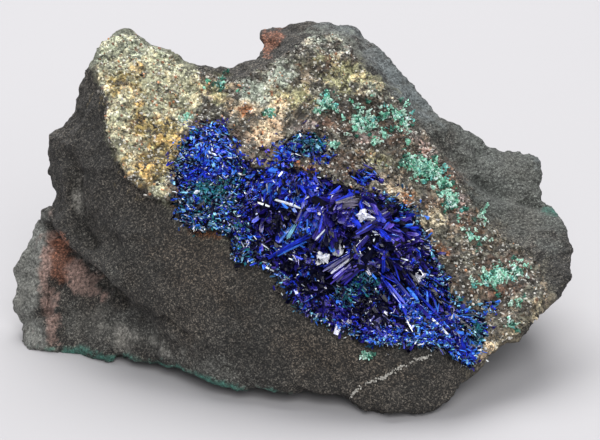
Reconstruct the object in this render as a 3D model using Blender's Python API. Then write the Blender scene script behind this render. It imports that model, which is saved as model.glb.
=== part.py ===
"""Linarite on a broken block of vein rock, at its real size.

The block is laid out as it is looked at, from the front and from VIEW_TILT above the table. A station is
(across, up, near) in millimetres. Across and up are where the eye sees it on an upright drawing plane through
the middle of the block, and near is how far it stands in front of that plane. placed() turns a station into
a point of the object's own frame, in metres, with +Z up and the front towards -Y.

The dark host rock carries a pale vein layer, and the linarite grew in a hollow of that layer.
"""

import math
import random

import bmesh
import bpy
from mathutils import Matrix, Vector
from mathutils.bvhtree import BVHTree
from mathutils.geometry import delaunay_2d_cdt

# Driving dimensions, in millimetres unless the name says otherwise.
MM = 0.001
VIEW_TILT = math.radians(20)
EYE_DISTANCE = 400.0
FLOOR_LEVEL = -22.9
TABLE_SIZE = (140.0, 140.0, 20.0)
GAP = 0.3
SAME_STATION = 1e-6

# The rock and the skins on it. A relief is (name, kind of noise, size of its lumps, height, contrast).
ROCK_VOXEL = 1.0
ROCK_TRIANGLES = 2800
ROCK_SWELL = 0.35
ROCK_RELIEFS = (
    ("Broken_ledges", "VORONOI", 9.0, 1.6, 1.0),
    ("Lumps", "CLOUDS", 5.0, 1.2, 1.4),
    ("Pits", "CLOUDS", 2.2, 0.6, 1.5),
)
VEIN_THICKNESS = 1.3
VEIN_RELIEF = ("Quartz_lumps", "CLOUDS", 3.0, 0.8, 1.6)
VEIN_TRIANGLES = 1400
CRUST_THICKNESS = 1.2
CRUST_RELIEF = ("Crust_lumps", "CLOUDS", 1.8, 0.8, 1.6)
CRUST_TRIANGLES = 2000
LAYER_NEAR = 30.0
LAYER_FAR = -20.0
INLAY_DEPTH = 4.0

# The linarite blades. A pair is a least and a greatest value, and a share is of the fan's own size.
BLADE_SEED = 18
BLADE_SECTION = ((-1.0, 0.6), (1.0, 1.0), (1.0, -0.6), (-1.0, -1.0))
ROOT_FULLNESS = 0.7
SHOULDER_SHARE = 0.78
CHISEL_EDGE = (-0.3, 0.15)
BURIED_SHARE = 0.15
ROOT_SCATTER_SHARE = 0.2
ROOT_SCATTER_MOST = 1.3
FAN_OPENING = 62.0
FAN_WANDER = 12.0
BLADE_LEAN = (18.0, 55.0)
BLADE_ROLL = 70.0
LENGTH_SHARES = (0.9, 1.35)
WIDTH_SHARES = (1.0, 1.5)
THICKNESS_SHARES = (0.3, 0.45)

DRUSE_SEED = 11
DRUSE_SIDES = 7
DRUSE_REACHES = (0.85, 1.15)
GRAINS_PER_MM2 = 0.8
GRAIN_RADII = (0.45, 0.75)
GRAIN_REACH = 0.8

# A cerussite crystal is a six-sided column, in a pocket that opens towards the eye.
COLUMN_SECTION = ((1.0, 0.45), (0.0, 1.0), (-1.0, 0.45), (-1.0, -0.45), (0.0, -1.0), (1.0, -0.45))
CRYSTAL_BOTTOM = -0.5
CRYSTAL_TOP = 1.3
CRYSTAL_TAPER = 0.5
POCKET_TOP = 14.0
POCKET_TAPER = 1.2

# The outline that the front shows, clockwise from the left of the pale horn.
OUTLINE = (
    (-31.0, 25.0, -10), (-30.2, 27.0, -12), (-27.8, 28.3, -13), (-25.0, 28.7, -14), (-23.0, 27.0, -14),
    (-19.5, 25.8, -13), (-17.5, 23.8, -13), (-14.0, 22.8, -12), (-10.0, 23.1, -12), (-7.2, 24.0, -14),
    (-7.0, 28.6, -19), (-5.6, 29.3, -21), (0.0, 29.7, -22), (4.3, 29.2, -22), (8.3, 28.2, -22),
    (10.5, 27.2, -21), (13.3, 24.4, -20), (15.4, 21.9, -20), (18.3, 19.0, -19), (19.6, 16.3, -18),
    (23.8, 13.8, -19), (27.2, 12.2, -20), (31.0, 11.4, -21), (33.5, 10.4, -20), (35.2, 10.8, -20),
    (37.0, 9.4, -19), (37.8, 7.2, -18), (36.6, 5.0, -16), (36.6, 3.2, -14), (40.2, 1.1, -11),
    (39.8, -1.6, -8), (40.6, -4.0, -6), (40.6, -7.5, -3), (39.3, -9.8, -1), (36.9, -13.4, 1),
    (33.6, -16.6, 4), (28.4, -20.4, 8), (25.2, -24.4, 9.5), (23.0, -26.4, 11), (21.2, -28.6, 12),
    (18.3, -29.0, 13), (15.0, -29.6, 14), (11.4, -28.6, 13), (8.0, -27.1, 12), (4.6, -25.8, 11),
    (0.0, -25.6, 10), (-6.3, -26.2, 8.5), (-9.5, -25.8, 7.5), (-14.0, -24.5, 6), (-17.4, -23.2, 3),
    (-23.0, -21.6, -2), (-28.4, -21.0, -6), (-32.4, -20.4, -9), (-35.5, -20.2, -10), (-39.1, -21.0, -11),
    (-41.0, -19.9, -13), (-41.6, -16.3, -15), (-43.0, -13.0, -17), (-42.8, -9.5, -18), (-41.9, -4.8, -18),
    (-40.1, -0.7, -18), (-39.0, 2.4, -17), (-37.2, 2.6, -13), (-37.0, 5.4, -13), (-37.7, 8.2, -14),
    (-37.4, 13.2, -14), (-34.2, 14.9, -12), (-33.6, 19.2, -11), (-32.4, 20.4, -11),
)

# Lines and knolls of the front, each a run of stations that an edge or a hollow of the rock follows.
VEIN_FOOT = (
    (-30.5, 22.0, -7), (-29.0, 18.0, -4.5), (-29.0, 14.0, -2.5), (-28.0, 10.5, -1), (-25.5, 6.0, 1.5),
    (-22.0, 3.5, 3), (-18.5, 2.0, 5), (-16.5, -1.5, 7), (-11.0, -3.0, 8.5), (-9.5, -6.5, 9.5),
    (-5.5, -7.0, 10.5), (-2.0, -10.5, 11.5), (1.0, -14.0, 12.5), (6.0, -16.5, 13), (11.0, -19.0, 13.5),
    (21.0, -19.5, 12), (25.0, -22.5, 10),
)
VEIN_TOP = (
    (-28.0, 26.0, -10.5), (-24.0, 25.0, -10.5), (-17.0, 22.0, -10.5), (-11.5, 21.5, -10.5),
    (-8.0, 20.5, -9.5), (-4.5, 22.0, -10.5), (0.0, 24.0, -12), (3.0, 26.5, -14), (6.0, 26.5, -14.5),
    (8.0, 23.5, -13),
    (12.0, 20.0, -12), (16.5, 16.0, -11.5), (21.0, 10.5, -11), (24.5, 5.0, -9.5), (28.5, -0.5, -8),
    (34.5, -5.0, -5),
)
SCARP_LIP = (
    (-36.0, -0.5, -8), (-33.5, -4.5, -5), (-30.0, -7.5, -1.5), (-26.0, -10.0, 1.5), (-20.0, -14.5, 4.5),
    (-16.0, -18.5, 6),
)
SCARP_FOOT = (
    (-36.5, -2.5, -15), (-34.0, -6.5, -13), (-30.0, -9.5, -9), (-26.0, -12.5, -5.5), (-21.5, -16.5, -1),
)
LOBE_EDGE = (
    (-38.0, -1.0, -15.5), (-38.5, -6.0, -14), (-38.0, -10.5, -12.5), (-37.5, -14.5, -11.5),
    (-38.0, -18.5, -10.5),
)
LEFT_GROOVE = ((-34.0, 10.0, -9), (-33.5, 5.5, -10.5), (-32.5, 1.0, -10), (-31.0, -3.5, -6.5))
LEFT_STRIP = ((-36.0, 11.0, -8.5), (-35.3, 5.5, -7.5), (-34.5, 1.0, -7))
GROOVE_EDGE = ((-32.8, 10.5, -6), (-32.0, 5.5, -5.5), (-31.0, 1.0, -5), (-29.5, -3.0, -3))
BACK_CHUNK_FOOT = ((-6.0, 24.0, -15), (-3.0, 24.8, -15), (0.0, 26.5, -16), (3.0, 28.3, -18))
BACK_CHUNK_FACE = ((-3.5, 28.0, -19), (0.0, 28.6, -21))
BACK_CHUNK_SLOPE = (
    (8.5, 26.0, -18), (11.8, 22.5, -16.5), (14.5, 19.5, -15.5), (17.5, 15.5, -14.5), (20.5, 13.0, -15),
)
RIGHT_SHOULDER = ((22.5, 10.5, -14), (26.5, 6.0, -12.5), (31.0, 3.5, -12), (35.5, 2.3, -13))
RIGHT_SHOULDER_BACK = ((27.0, 9.5, -17), (33.0, 7.0, -17), (34.8, 9.3, -18.5))
RIGHT_FLANK = ((32.0, -1.5, -8.5), (37.5, -5.0, -5.5), (36.0, -10.0, -1.5), (31.0, -15.0, 4))
VEIN_FIELD = (
    (-26.0, 20.0, -6), (-20.0, 19.0, -7.5), (-24.0, 12.0, -2.5), (-17.0, 12.0, -3), (-21.0, 7.0, 0),
    (-10.0, 14.0, -5.5), (-3.0, 16.0, -7.5), (4.0, 19.0, -10), (10.0, 14.0, -9.5), (-3.0, 9.5, -2.5),
    (5.0, 10.0, -5), (14.0, 8.5, -8), (17.0, 1.5, -4.5), (23.0, -2.5, -4), (26.0, -9.0, -0.5),
    (30.0, -7.5, -3), (27.0, -15.5, 4.5), (12.0, 3.5, -3.5),
)
# The hollow that the linarite grew in lies a few millimetres below the vein layer around it.
HOLLOW_RIM = (
    (-14.0, 8.0, -0.5), (-8.0, 5.5, 1.0), (-1.0, 5.5, 0), (6.0, 4.0, -1), (13.0, 2.0, -2), (18.0, -3.0, -1),
    (21.5, -9.5, 1.5), (24.5, -15.0, 5.5),
)
HOLLOW_FLOOR = (
    (-13.0, 2.0, 2.5), (-6.5, 0.0, 3.5), (0.0, -1.0, 2.5), (-3.5, -6.0, 6.5), (3.0, -7.5, 5),
    (9.0, -4.5, 1.0), (8.0, -11.5, 5.0), (14.0, -9.0, 2.0), (13.5, -14.5, 6.5), (19.5, -14.5, 6.0),
)
DARK_FACE = (
    (-31.8, 16.0, -7), (-29.5, 6.5, -1.5), (-28.5, -1.0, 0), (-24.5, -4.0, 3.5), (-18.0, -6.5, 6.5),
    (-13.0, -11.0, 8.5), (-6.0, -13.5, 10.5), (-13.0, -17.5, 8), (-5.0, -20.0, 10), (2.0, -20.5, 11.5),
    (9.0, -23.0, 13.5), (15.0, -24.5, 14.5), (20.5, -24.0, 12.5),
)
RECESS = (
    (-35.5, -10.0, -14), (-35.0, -15.5, -12), (-29.5, -14.0, -9.5), (-30.5, -18.0, -8.5), (-23.5, -18.5, -4),
    (-17.5, -21.0, 2.5),
)

# Lines of the back and the underside, which the front hides.
FOOT_FRONT = ((12.0, -27.6, 5), (16.0, -28.0, 6), (20.0, -27.0, 5))
FOOT_LEFT = ((-38.5, -19.5, -15.5), (-35.0, -19.0, -16.5))
FOOT_BACK = (
    (-34.0, -14.0, -21), (-24.0, -12.5, -25), (-12.0, -13.0, -28.5), (2.0, -14.5, -30), (15.0, -15.5, -28),
    (26.0, -14.0, -25),
)
ARCH = (
    (-27.0, -18.0, -12), (-18.0, -18.5, -9), (-8.0, -19.0, -4), (2.0, -19.5, -4), (7.0, -21.0, -4),
    (0.0, -15.5, -15), (-20.0, -14.0, -17), (24.0, -20.5, -4),
)
BACK_BELT = (
    (-38.0, -8.0, -23), (-31.0, -6.0, -27), (-20.0, -5.0, -31), (-8.0, -6.0, -33), (5.0, -4.0, -35),
    (18.0, -6.0, -33), (29.0, -8.0, -28), (35.5, -9.0, -19),
)
BACK_CREST = (
    (-32.0, 6.0, -22), (-25.0, 10.0, -25), (-15.0, 11.0, -27), (-4.0, 14.0, -32), (8.0, 12.0, -35),
    (20.0, 9.0, -33), (31.0, 4.0, -29),
)
BACK_HIGH = (
    (-27.0, 20.0, -19), (-19.0, 19.0, -18), (-10.0, 18.5, -19), (-3.0, 23.0, -27), (8.0, 22.0, -28),
    (15.0, 14.5, -29),
)
RIGHT_UNDER = ((33.0, -13.5, -10), (38.0, -4.5, -15), (28.5, -16.8, -10))

# Regions of the front, each a closed run of (across, up).
VEIN_REGION = (
    (-30.2, 24.8), (-29.4, 26.4), (-27.6, 27.4), (-25.2, 27.7), (-23.5, 26.1), (-20.1, 24.9), (-18.2, 22.9),
    (-14.4, 21.7), (-11.5, 21.2), (-8.0, 20.8), (-6.0, 22.6), (-3.0, 24.0), (-0.5, 25.6), (1.2, 27.2),
    (4.5, 27.8), (7.0, 26.0), (8.8, 22.8), (12.5, 19.6), (16.5, 15.6), (19.0, 12.5), (22.0, 8.5),
    (24.5, 4.0), (27.5, 0.0), (31.0, -3.5), (35.0, -6.0), (37.0, -10.0), (36.2, -13.3), (33.2, -16.2),
    (28.0, -19.9), (26.2, -21.9), (25.0, -20.5), (22.0, -18.0), (16.0, -17.5), (11.0, -17.0), (5.5, -14.5),
    (0.5, -11.5), (-2.5, -6.2), (-5.8, -5.2), (-9.0, -4.0), (-10.5, -1.0), (-15.5, 0.2), (-17.6, 2.4),
    (-22.0, 3.6), (-25.5, 6.0), (-28.0, 10.5), (-29.0, 14.0), (-28.9, 18.0), (-30.4, 22.0),
)
LINARITE_REGIONS = {
    "linarite_cluster": (
        (-18.8, 8.5), (-17.0, 12.5), (-14.0, 14.2), (-10.8, 14.0), (-10.0, 10.8), (-8.0, 8.0), (-4.0, 7.3),
        (0.5, 7.4), (4.5, 5.8), (8.0, 4.6), (11.0, 3.9), (14.2, 3.0), (16.5, 1.2), (18.6, -2.0),
        (20.4, -5.0), (21.6, -8.0), (22.6, -11.0), (24.2, -13.2), (27.2, -13.8), (28.0, -15.8), (27.0, -19.5),
        (25.2, -22.0), (23.2, -20.4), (21.0, -19.0), (15.0, -18.7), (10.6, -18.6), (6.6, -16.4), (3.0, -15.0),
        (0.2, -13.4), (-1.8, -11.2), (-3.4, -8.2), (-5.7, -6.6), (-9.6, -6.1), (-10.2, -2.4), (-13.0, -1.3),
        (-15.6, -1.5), (-18.0, -0.2), (-18.3, 3.2),
    ),
    "linarite_satellite_high": (
        (-2.8, 8.6), (-2.5, 11.0), (-0.6, 12.9), (2.6, 12.6), (4.2, 10.4), (2.8, 8.8), (0.4, 9.1),
    ),
    "linarite_satellite_right": ((8.2, 5.8), (8.5, 7.2), (10.4, 7.4), (11.2, 6.2), (10.0, 5.3)),
}
# Each fan is (across, up, heading in degrees, blades, blade length, blade width).
BLADE_FANS = (
    (-0.5, 2.6, 235, 5, 6.4, 1.8),
    (6.6, 1.0, 212, 4, 6.4, 2.6),
    (-5.0, 3.2, 262, 4, 5.4, 1.6),
    (-4.0, 3.6, 75, 2, 4.0, 1.5),
    (3.2, -1.6, 285, 3, 4.6, 1.8),
    (7.6, -4.4, 230, 3, 5.4, 1.7),
    (12.2, -4.2, 330, 4, 6.2, 1.8),
    (11.0, -8.0, 160, 3, 4.8, 1.7),
    (16.5, -9.0, 285, 4, 5.4, 1.5),
    (6.5, -11.0, 245, 3, 4.6, 1.5),
    (18.0, -13.5, 215, 2, 4.4, 1.4),
    (22.5, -15.0, 300, 3, 4.6, 1.3),
    (-15.0, 9.0, 70, 3, 3.6, 1.3),
    (-14.0, 3.0, 250, 3, 3.8, 1.3),
    (1.0, -6.0, 190, 3, 4.4, 1.6),
    (13.0, -14.5, 200, 2, 4.2, 1.4),
    (0.6, 10.6, 200, 2, 2.6, 1.1),
    (9.6, 6.4, 150, 1, 1.8, 0.8),
)
# Each druse is (across, up, half width, half height).
GREEN_DRUSES = (
    (-11.8, 20.2, 1.7, 1.1),
    (8.8, 14.8, 3.0, 1.9),
    (4.3, 17.6, 1.9, 1.0),
    (17.8, 8.0, 3.8, 2.1),
    (22.2, 2.6, 1.5, 2.0),
    (30.4, -8.3, 3.4, 2.3),
    (31.7, -15.2, 1.3, 0.9),
)
# Each cerussite crystal is (across, up, width, length, heading of its length in degrees).
CERUSSITE_CRYSTALS = (
    (5.6, -4.2, 1.5, 2.3, 35),
    (3.3, -5.6, 1.0, 1.5, 70),
    (17.8, -8.5, 1.3, 2.0, 40),
    (9.3, 1.0, 1.5, 2.4, 150),
)

# The finish of each node, by the first word of its name: (name, linear colour, roughness).
FINISHES = {
    "host": ("host_rock", (0.085, 0.080, 0.075), 0.9),
    "vein": ("vein_quartz", (0.42, 0.38, 0.26), 0.7),
    "linarite": ("linarite", (0.012, 0.035, 0.48), 0.25),
    "green": ("green_druse", (0.16, 0.52, 0.38), 0.6),
    "cerussite": ("cerussite", (0.80, 0.80, 0.83), 0.2),
}


def placed(across, up, near):
    """A station as a point of the object's frame before it is centred on its footprint, in metres."""
    spread = 1.0 - near / EYE_DISTANCE
    x = across * spread
    height = up * spread
    y = height * math.sin(VIEW_TILT) - near * math.cos(VIEW_TILT)
    z = height * math.cos(VIEW_TILT) + near * math.sin(VIEW_TILT)
    return Vector((x, y, z)) * MM


def clear_scene():
    for obj in list(bpy.data.objects):
        bpy.data.objects.remove(obj)


def finish_of(name, colour, roughness):
    material = bpy.data.materials.new(name)
    material.use_nodes = True
    shader = material.node_tree.nodes["Principled BSDF"]
    shader.inputs["Base Color"].default_value = (*colour, 1.0)
    shader.inputs["Roughness"].default_value = roughness
    shader.inputs["Metallic"].default_value = 0.0
    return material


def as_object(name, bm):
    """A new object from a bmesh, with every face turned outwards."""
    bmesh.ops.recalc_face_normals(bm, faces=bm.faces)
    mesh = bpy.data.meshes.new(name)
    bm.to_mesh(mesh)
    bm.free()
    obj = bpy.data.objects.new(name, mesh)
    bpy.context.scene.collection.objects.link(obj)
    return obj


def copy_of(obj, name):
    twin = bpy.data.objects.new(name, obj.data.copy())
    bpy.context.scene.collection.objects.link(twin)
    return twin


def remove(*objects):
    for obj in objects:
        bpy.data.objects.remove(obj)


def settle(obj):
    """Applies the object's modifiers to its own mesh."""
    graph = bpy.context.evaluated_depsgraph_get()
    settled = bpy.data.meshes.new_from_object(obj.evaluated_get(graph))
    obj.modifiers.clear()
    obj.data = settled


def keep_main_body(obj):
    """Deletes every loose scrap, so that the largest connected body is left."""
    bm = bmesh.new()
    bm.from_mesh(obj.data)
    unseen = set(bm.verts)
    bodies = []
    while unseen:
        body = {unseen.pop()}
        edge_of_body = list(body)
        while edge_of_body:
            vertex = edge_of_body.pop()
            for edge in vertex.link_edges:
                other = edge.other_vert(vertex)
                if other in unseen:
                    unseen.discard(other)
                    body.add(other)
                    edge_of_body.append(other)
        bodies.append(body)
    bodies.sort(key=len)
    scraps = [vertex for body in bodies[:-1] for vertex in body]
    bmesh.ops.delete(bm, geom=scraps, context="VERTS")
    bm.to_mesh(obj.data)
    bm.free()


def combine(obj, other, operation):
    """One Boolean step, applied at once. The other object stays."""
    step = obj.modifiers.new(operation.title(), "BOOLEAN")
    step.operation = operation
    step.object = other
    step.solver = "MANIFOLD"
    settle(obj)


def roughen(obj, name, kind, lump_size, height, contrast):
    """Pushes the surface in and out along its normals by a noise, with sizes in millimetres."""
    texture = bpy.data.textures.new(name, kind)
    texture.noise_scale = lump_size * MM
    texture.contrast = contrast
    if kind == "CLOUDS":
        texture.noise_depth = 2
    step = obj.modifiers.new(name, "DISPLACE")
    step.texture = texture
    step.texture_coords = "LOCAL"
    step.strength = height * MM
    step.mid_level = 0.5


def grow(obj, distance):
    """Moves the surface outwards along its normals by a distance in millimetres."""
    step = obj.modifiers.new("Grow", "DISPLACE")
    step.strength = distance * MM
    step.mid_level = 0.0


def remeshed(obj, voxel):
    step = obj.modifiers.new("Even_mesh", "REMESH")
    step.mode = "VOXEL"
    step.voxel_size = voxel * MM


def thinned(obj, triangles):
    """Cuts the mesh down to about this many triangles, keeping its edges."""
    settle(obj)
    obj.data.calc_loop_triangles()
    step = obj.modifiers.new("Fewer_faces", "DECIMATE")
    step.ratio = min(1.0, triangles / len(obj.data.loop_triangles))
    step.use_collapse_triangulate = True
    settle(obj)


def relief(bm, ring, runs, knolls):
    """Triangulates one side of the block inside the outline, with an edge along every run of stations."""
    stations = list(OUTLINE)
    vertices = list(ring)
    edges = [(i, (i + 1) % len(ring)) for i in range(len(ring))]
    for run in runs:
        first = len(stations)
        stations.extend(run)
        edges.extend((first + i, first + i + 1) for i in range(len(run) - 1))
    for group in knolls:
        stations.extend(group)
    vertices.extend(bm.verts.new(placed(*station)) for station in stations[len(ring):])
    seen = [Vector(station[:2]) for station in stations]
    _, _, faces, origins, _, _ = delaunay_2d_cdt(seen, edges, [], 1, SAME_STATION)
    for face in faces:
        bm.faces.new([vertices[origins[corner][0]] for corner in face])


def prism(name, region, near, far, margin=0.0):
    """A column along the line of sight over a region of the front, made wider all round by margin."""
    bm = bmesh.new()
    count = len(region)
    widened = []
    for i in range(count):
        before, here, after = (Vector(region[(i + k) % count]) for k in (-1, 0, 1))
        out_before = Vector((before.y - here.y, here.x - before.x)).normalized()
        out_after = Vector((here.y - after.y, after.x - here.x)).normalized()
        outwards = (out_before + out_after).normalized()
        widened.append(here + outwards * margin)
    front = [bm.verts.new(placed(point.x, point.y, near)) for point in widened]
    back = [bm.verts.new(placed(point.x, point.y, far)) for point in widened]
    bm.faces.new(front)
    bm.faces.new(reversed(back))
    for i in range(count):
        j = (i + 1) % count
        bm.faces.new((front[i], front[j], back[j], back[i]))
    return as_object(name, bm)


def make_table():
    """The slab under the block, which cuts its feet flat."""
    bm = bmesh.new()
    bmesh.ops.create_cube(bm, size=1.0)
    size = Vector(TABLE_SIZE) * MM
    centre = Vector((0.0, 0.0, FLOOR_LEVEL - TABLE_SIZE[2] / 2)) * MM
    bmesh.ops.scale(bm, vec=size, verts=bm.verts)
    bmesh.ops.translate(bm, vec=centre, verts=bm.verts)
    return as_object("table", bm)


def make_rock():
    """The dense host rock: two reliefs that meet at the outline, roughened like broken stone."""
    bm = bmesh.new()
    ring = [bm.verts.new(placed(*station)) for station in OUTLINE]
    front_runs = (
        VEIN_FOOT, VEIN_TOP, SCARP_LIP, SCARP_FOOT, LOBE_EDGE, LEFT_GROOVE, LEFT_STRIP, GROOVE_EDGE,
        BACK_CHUNK_FOOT, BACK_CHUNK_SLOPE, RIGHT_SHOULDER, HOLLOW_RIM,
    )
    front_knolls = (
        BACK_CHUNK_FACE, RIGHT_SHOULDER_BACK, RIGHT_FLANK, VEIN_FIELD, HOLLOW_FLOOR, DARK_FACE, RECESS,
    )
    back_runs = (FOOT_FRONT, FOOT_BACK, BACK_BELT, BACK_CREST)
    back_knolls = (FOOT_LEFT, ARCH, BACK_HIGH, RIGHT_UNDER)
    relief(bm, ring, front_runs, front_knolls)
    relief(bm, ring, back_runs, back_knolls)
    rock = as_object("dense_rock", bm)
    remeshed(rock, ROCK_VOXEL)
    grow(rock, ROCK_SWELL)
    for rock_relief in ROCK_RELIEFS:
        roughen(rock, *rock_relief)
    settle(rock)
    return rock


def make_skin(name, dense_rock, height, skin_relief, triangles):
    """A copy of the rock's surface, this much further out and with a relief of its own."""
    skin = copy_of(dense_rock, name)
    grow(skin, height)
    remeshed(skin, ROCK_VOXEL)
    roughen(skin, *skin_relief)
    thinned(skin, triangles)
    return skin


def make_layer(name, skin, region, underlay):
    """What lies between the skin and the underlay over one region of the front."""
    layer = prism(name, region, LAYER_NEAR, LAYER_FAR)
    combine(layer, skin, "INTERSECT")
    combine(layer, underlay, "DIFFERENCE")
    keep_main_body(layer)
    return layer


def sight_line(surface, across, up):
    """Where the line of sight through (across, up) first meets the surface."""
    eye = placed(0.0, 0.0, EYE_DISTANCE)
    towards = (placed(across, up, 0.0) - eye).normalized()
    point, _, _, _ = surface.ray_cast(eye, towards)
    return point


def surface_of(obj):
    bm = bmesh.new()
    bm.from_mesh(obj.data)
    surface = BVHTree.FromBMesh(bm)
    bm.free()
    return surface


def nearness(point):
    """How far a point of the uncentred block stands in front of the drawing plane, in millimetres."""
    return (point.z * math.sin(VIEW_TILT) - point.y * math.cos(VIEW_TILT)) / MM


def drawing_axes(across, up, turn):
    """Two unit vectors at a station: one in the drawing plane at this turn, and one towards the eye."""
    here = placed(across, up, 0.0)
    level = (placed(across + math.cos(turn), up + math.sin(turn), 0.0) - here).normalized()
    towards_eye = (placed(across, up, 1.0) - here).normalized()
    return level, towards_eye


def make_blade(root, along, flat, length, width, thickness):
    """A tabular linarite crystal: a plate that widens from its root and ends in a chisel edge."""
    across = along.cross(flat).normalized()
    face = across.cross(along).normalized()
    bm = bmesh.new()
    rings = []
    for share, fullness in ((0.0, ROOT_FULLNESS), (SHOULDER_SHARE, 1.0)):
        centre = root + along * length * share
        half = width / 2 * fullness
        ring = [bm.verts.new(centre + across * half * u + face * thickness / 2 * v) for u, v in BLADE_SECTION]
        rings.append(ring)
    base, shoulder = rings
    tip = root + along * length
    left, right = (bm.verts.new(tip + across * width * side) for side in CHISEL_EDGE)
    for i in range(len(base)):
        j = (i + 1) % len(base)
        bm.faces.new((base[i], base[j], shoulder[j], shoulder[i]))
    bm.faces.new(reversed(base))
    bm.faces.new((shoulder[0], shoulder[1], right, left))
    bm.faces.new((shoulder[2], shoulder[3], left, right))
    bm.faces.new((shoulder[3], shoulder[0], left))
    bm.faces.new((shoulder[1], shoulder[2], right))
    return as_object("blade", bm)


def make_blades(surface):
    """The larger blades, standing in fans in the hollow, as separate objects."""
    chance = random.Random(BLADE_SEED)
    blades = []
    for across, up, heading, count, length, width in BLADE_FANS:
        spread = min(ROOT_SCATTER_MOST, ROOT_SCATTER_SHARE * length)
        for i in range(count):
            root_across = across + chance.uniform(-spread, spread)
            root_up = up + chance.uniform(-spread, spread)
            root = sight_line(surface, root_across, root_up)
            place_in_fan = (i + 0.5) / count - 0.5
            wander = chance.uniform(-FAN_WANDER, FAN_WANDER)
            turn = math.radians(heading + FAN_OPENING * place_in_fan + wander)
            lean = math.radians(chance.uniform(*BLADE_LEAN))
            level, towards_eye = drawing_axes(across, up, turn)
            along = (level * math.cos(lean) + towards_eye * math.sin(lean)).normalized()
            roll = math.radians(chance.uniform(-BLADE_ROLL, BLADE_ROLL))
            flat = Matrix.Rotation(roll, 3, along) @ towards_eye
            size = length * chance.uniform(*LENGTH_SHARES) * MM
            broad = width * chance.uniform(*WIDTH_SHARES) * MM
            thick = width * chance.uniform(*THICKNESS_SHARES) * MM
            blades.append(make_blade(root - along * size * BURIED_SHARE, along, flat, size, broad, thick))
    return blades


def make_grains(surface):
    """Squat rounded grains scattered over every green druse, as separate objects."""
    chance = random.Random(DRUSE_SEED)
    grains = []
    for across, up, half_width, half_height in GREEN_DRUSES:
        for _ in range(round(GRAINS_PER_MM2 * half_width * half_height)):
            turn = chance.uniform(0.0, 2 * math.pi)
            reach = GRAIN_REACH * math.sqrt(chance.random())
            grain_across = across + half_width * reach * math.cos(turn)
            grain_up = up + half_height * reach * math.sin(turn)
            root = sight_line(surface, grain_across, grain_up)
            bm = bmesh.new()
            bmesh.ops.create_icosphere(bm, subdivisions=1, radius=chance.uniform(*GRAIN_RADII) * MM)
            bmesh.ops.rotate(bm, matrix=Matrix.Rotation(turn, 3, "X"), verts=bm.verts)
            bmesh.ops.translate(bm, vec=root, verts=bm.verts)
            grains.append(as_object("grain", bm))
    return grains


def druse_region(across, up, half_width, half_height, chance):
    """The uneven outline of one druse, clockwise."""
    region = []
    for i in range(DRUSE_SIDES):
        turn = -2 * math.pi * i / DRUSE_SIDES
        reach = chance.uniform(*DRUSE_REACHES)
        sideways = half_width * reach * math.cos(turn)
        upwards = half_height * reach * math.sin(turn)
        region.append((across + sideways, up + upwards))
    return region


def make_column(name, root, side, towards_eye, half_width, half_length, bottom, top, taper):
    """A six-sided column standing on the surface towards the eye, with its far ring taper times as wide."""
    lengthwise = side.cross(towards_eye).normalized()
    bm = bmesh.new()
    rings = []
    for height, fullness in ((bottom, 1.0), (top, taper)):
        centre = root + towards_eye * height * MM
        ring = []
        for u, v in COLUMN_SECTION:
            out = side * half_width * u + lengthwise * half_length * v
            ring.append(bm.verts.new(centre + out * fullness * MM))
        rings.append(ring)
    near_ring, far_ring = rings
    bm.faces.new(near_ring)
    bm.faces.new(reversed(far_ring))
    for i in range(len(near_ring)):
        j = (i + 1) % len(near_ring)
        bm.faces.new((near_ring[i], near_ring[j], far_ring[j], far_ring[i]))
    return as_object(name, bm)


def set_cerussite(cluster, surface):
    """The white crystals, each standing in a pocket that is cut for it in the linarite."""
    crystals = []
    for number, (across, up, width, length, heading) in enumerate(CERUSSITE_CRYSTALS, start=1):
        root = sight_line(surface, across, up)
        side, towards_eye = drawing_axes(across, up, math.radians(heading - 90))
        name = f"cerussite_crystal_{number}"
        stand = (root, side, towards_eye)
        size = (width / 2, length / 2)
        crystal = make_column(name, *stand, *size, CRYSTAL_BOTTOM, CRYSTAL_TOP, CRYSTAL_TAPER)
        room = (width / 2 + 2 * GAP, length / 2 + 2 * GAP)
        pocket = make_column("pocket", *stand, *room, CRYSTAL_BOTTOM - GAP, POCKET_TOP, POCKET_TAPER)
        combine(cluster, pocket, "DIFFERENCE")
        remove(pocket)
        crystals.append(crystal)
    return crystals


def make_table_and_rock():
    """The dense rock that the skins are grown from, and the lighter rock that stands on its own flat feet."""
    table = make_table()
    dense = make_rock()
    rock = copy_of(dense, "host_rock")
    thinned(rock, ROCK_TRIANGLES)
    combine(rock, table, "DIFFERENCE")
    keep_main_body(rock)
    remove(table)
    return dense, rock


def inlay_regions():
    """Every region where something other than the vein grew, by the name of what fills it."""
    chance = random.Random(DRUSE_SEED)
    regions = dict(LINARITE_REGIONS)
    for number, druse in enumerate(GREEN_DRUSES, start=1):
        regions[f"green_druse_{number}"] = druse_region(*druse, chance)
    return regions


def centre_on_footprint(nodes):
    """Moves all the nodes together, so that the middle of their footprint is the origin, at table height."""
    corners = [vertex.co for node in nodes for vertex in node.data.vertices]
    low = Vector([min(corner[axis] for corner in corners) for axis in range(3)])
    high = Vector([max(corner[axis] for corner in corners) for axis in range(3)])
    shift = Vector((-(low.x + high.x) / 2, -(low.y + high.y) / 2, -low.z))
    for node in nodes:
        node.data.transform(Matrix.Translation(shift))
    return shift


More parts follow.
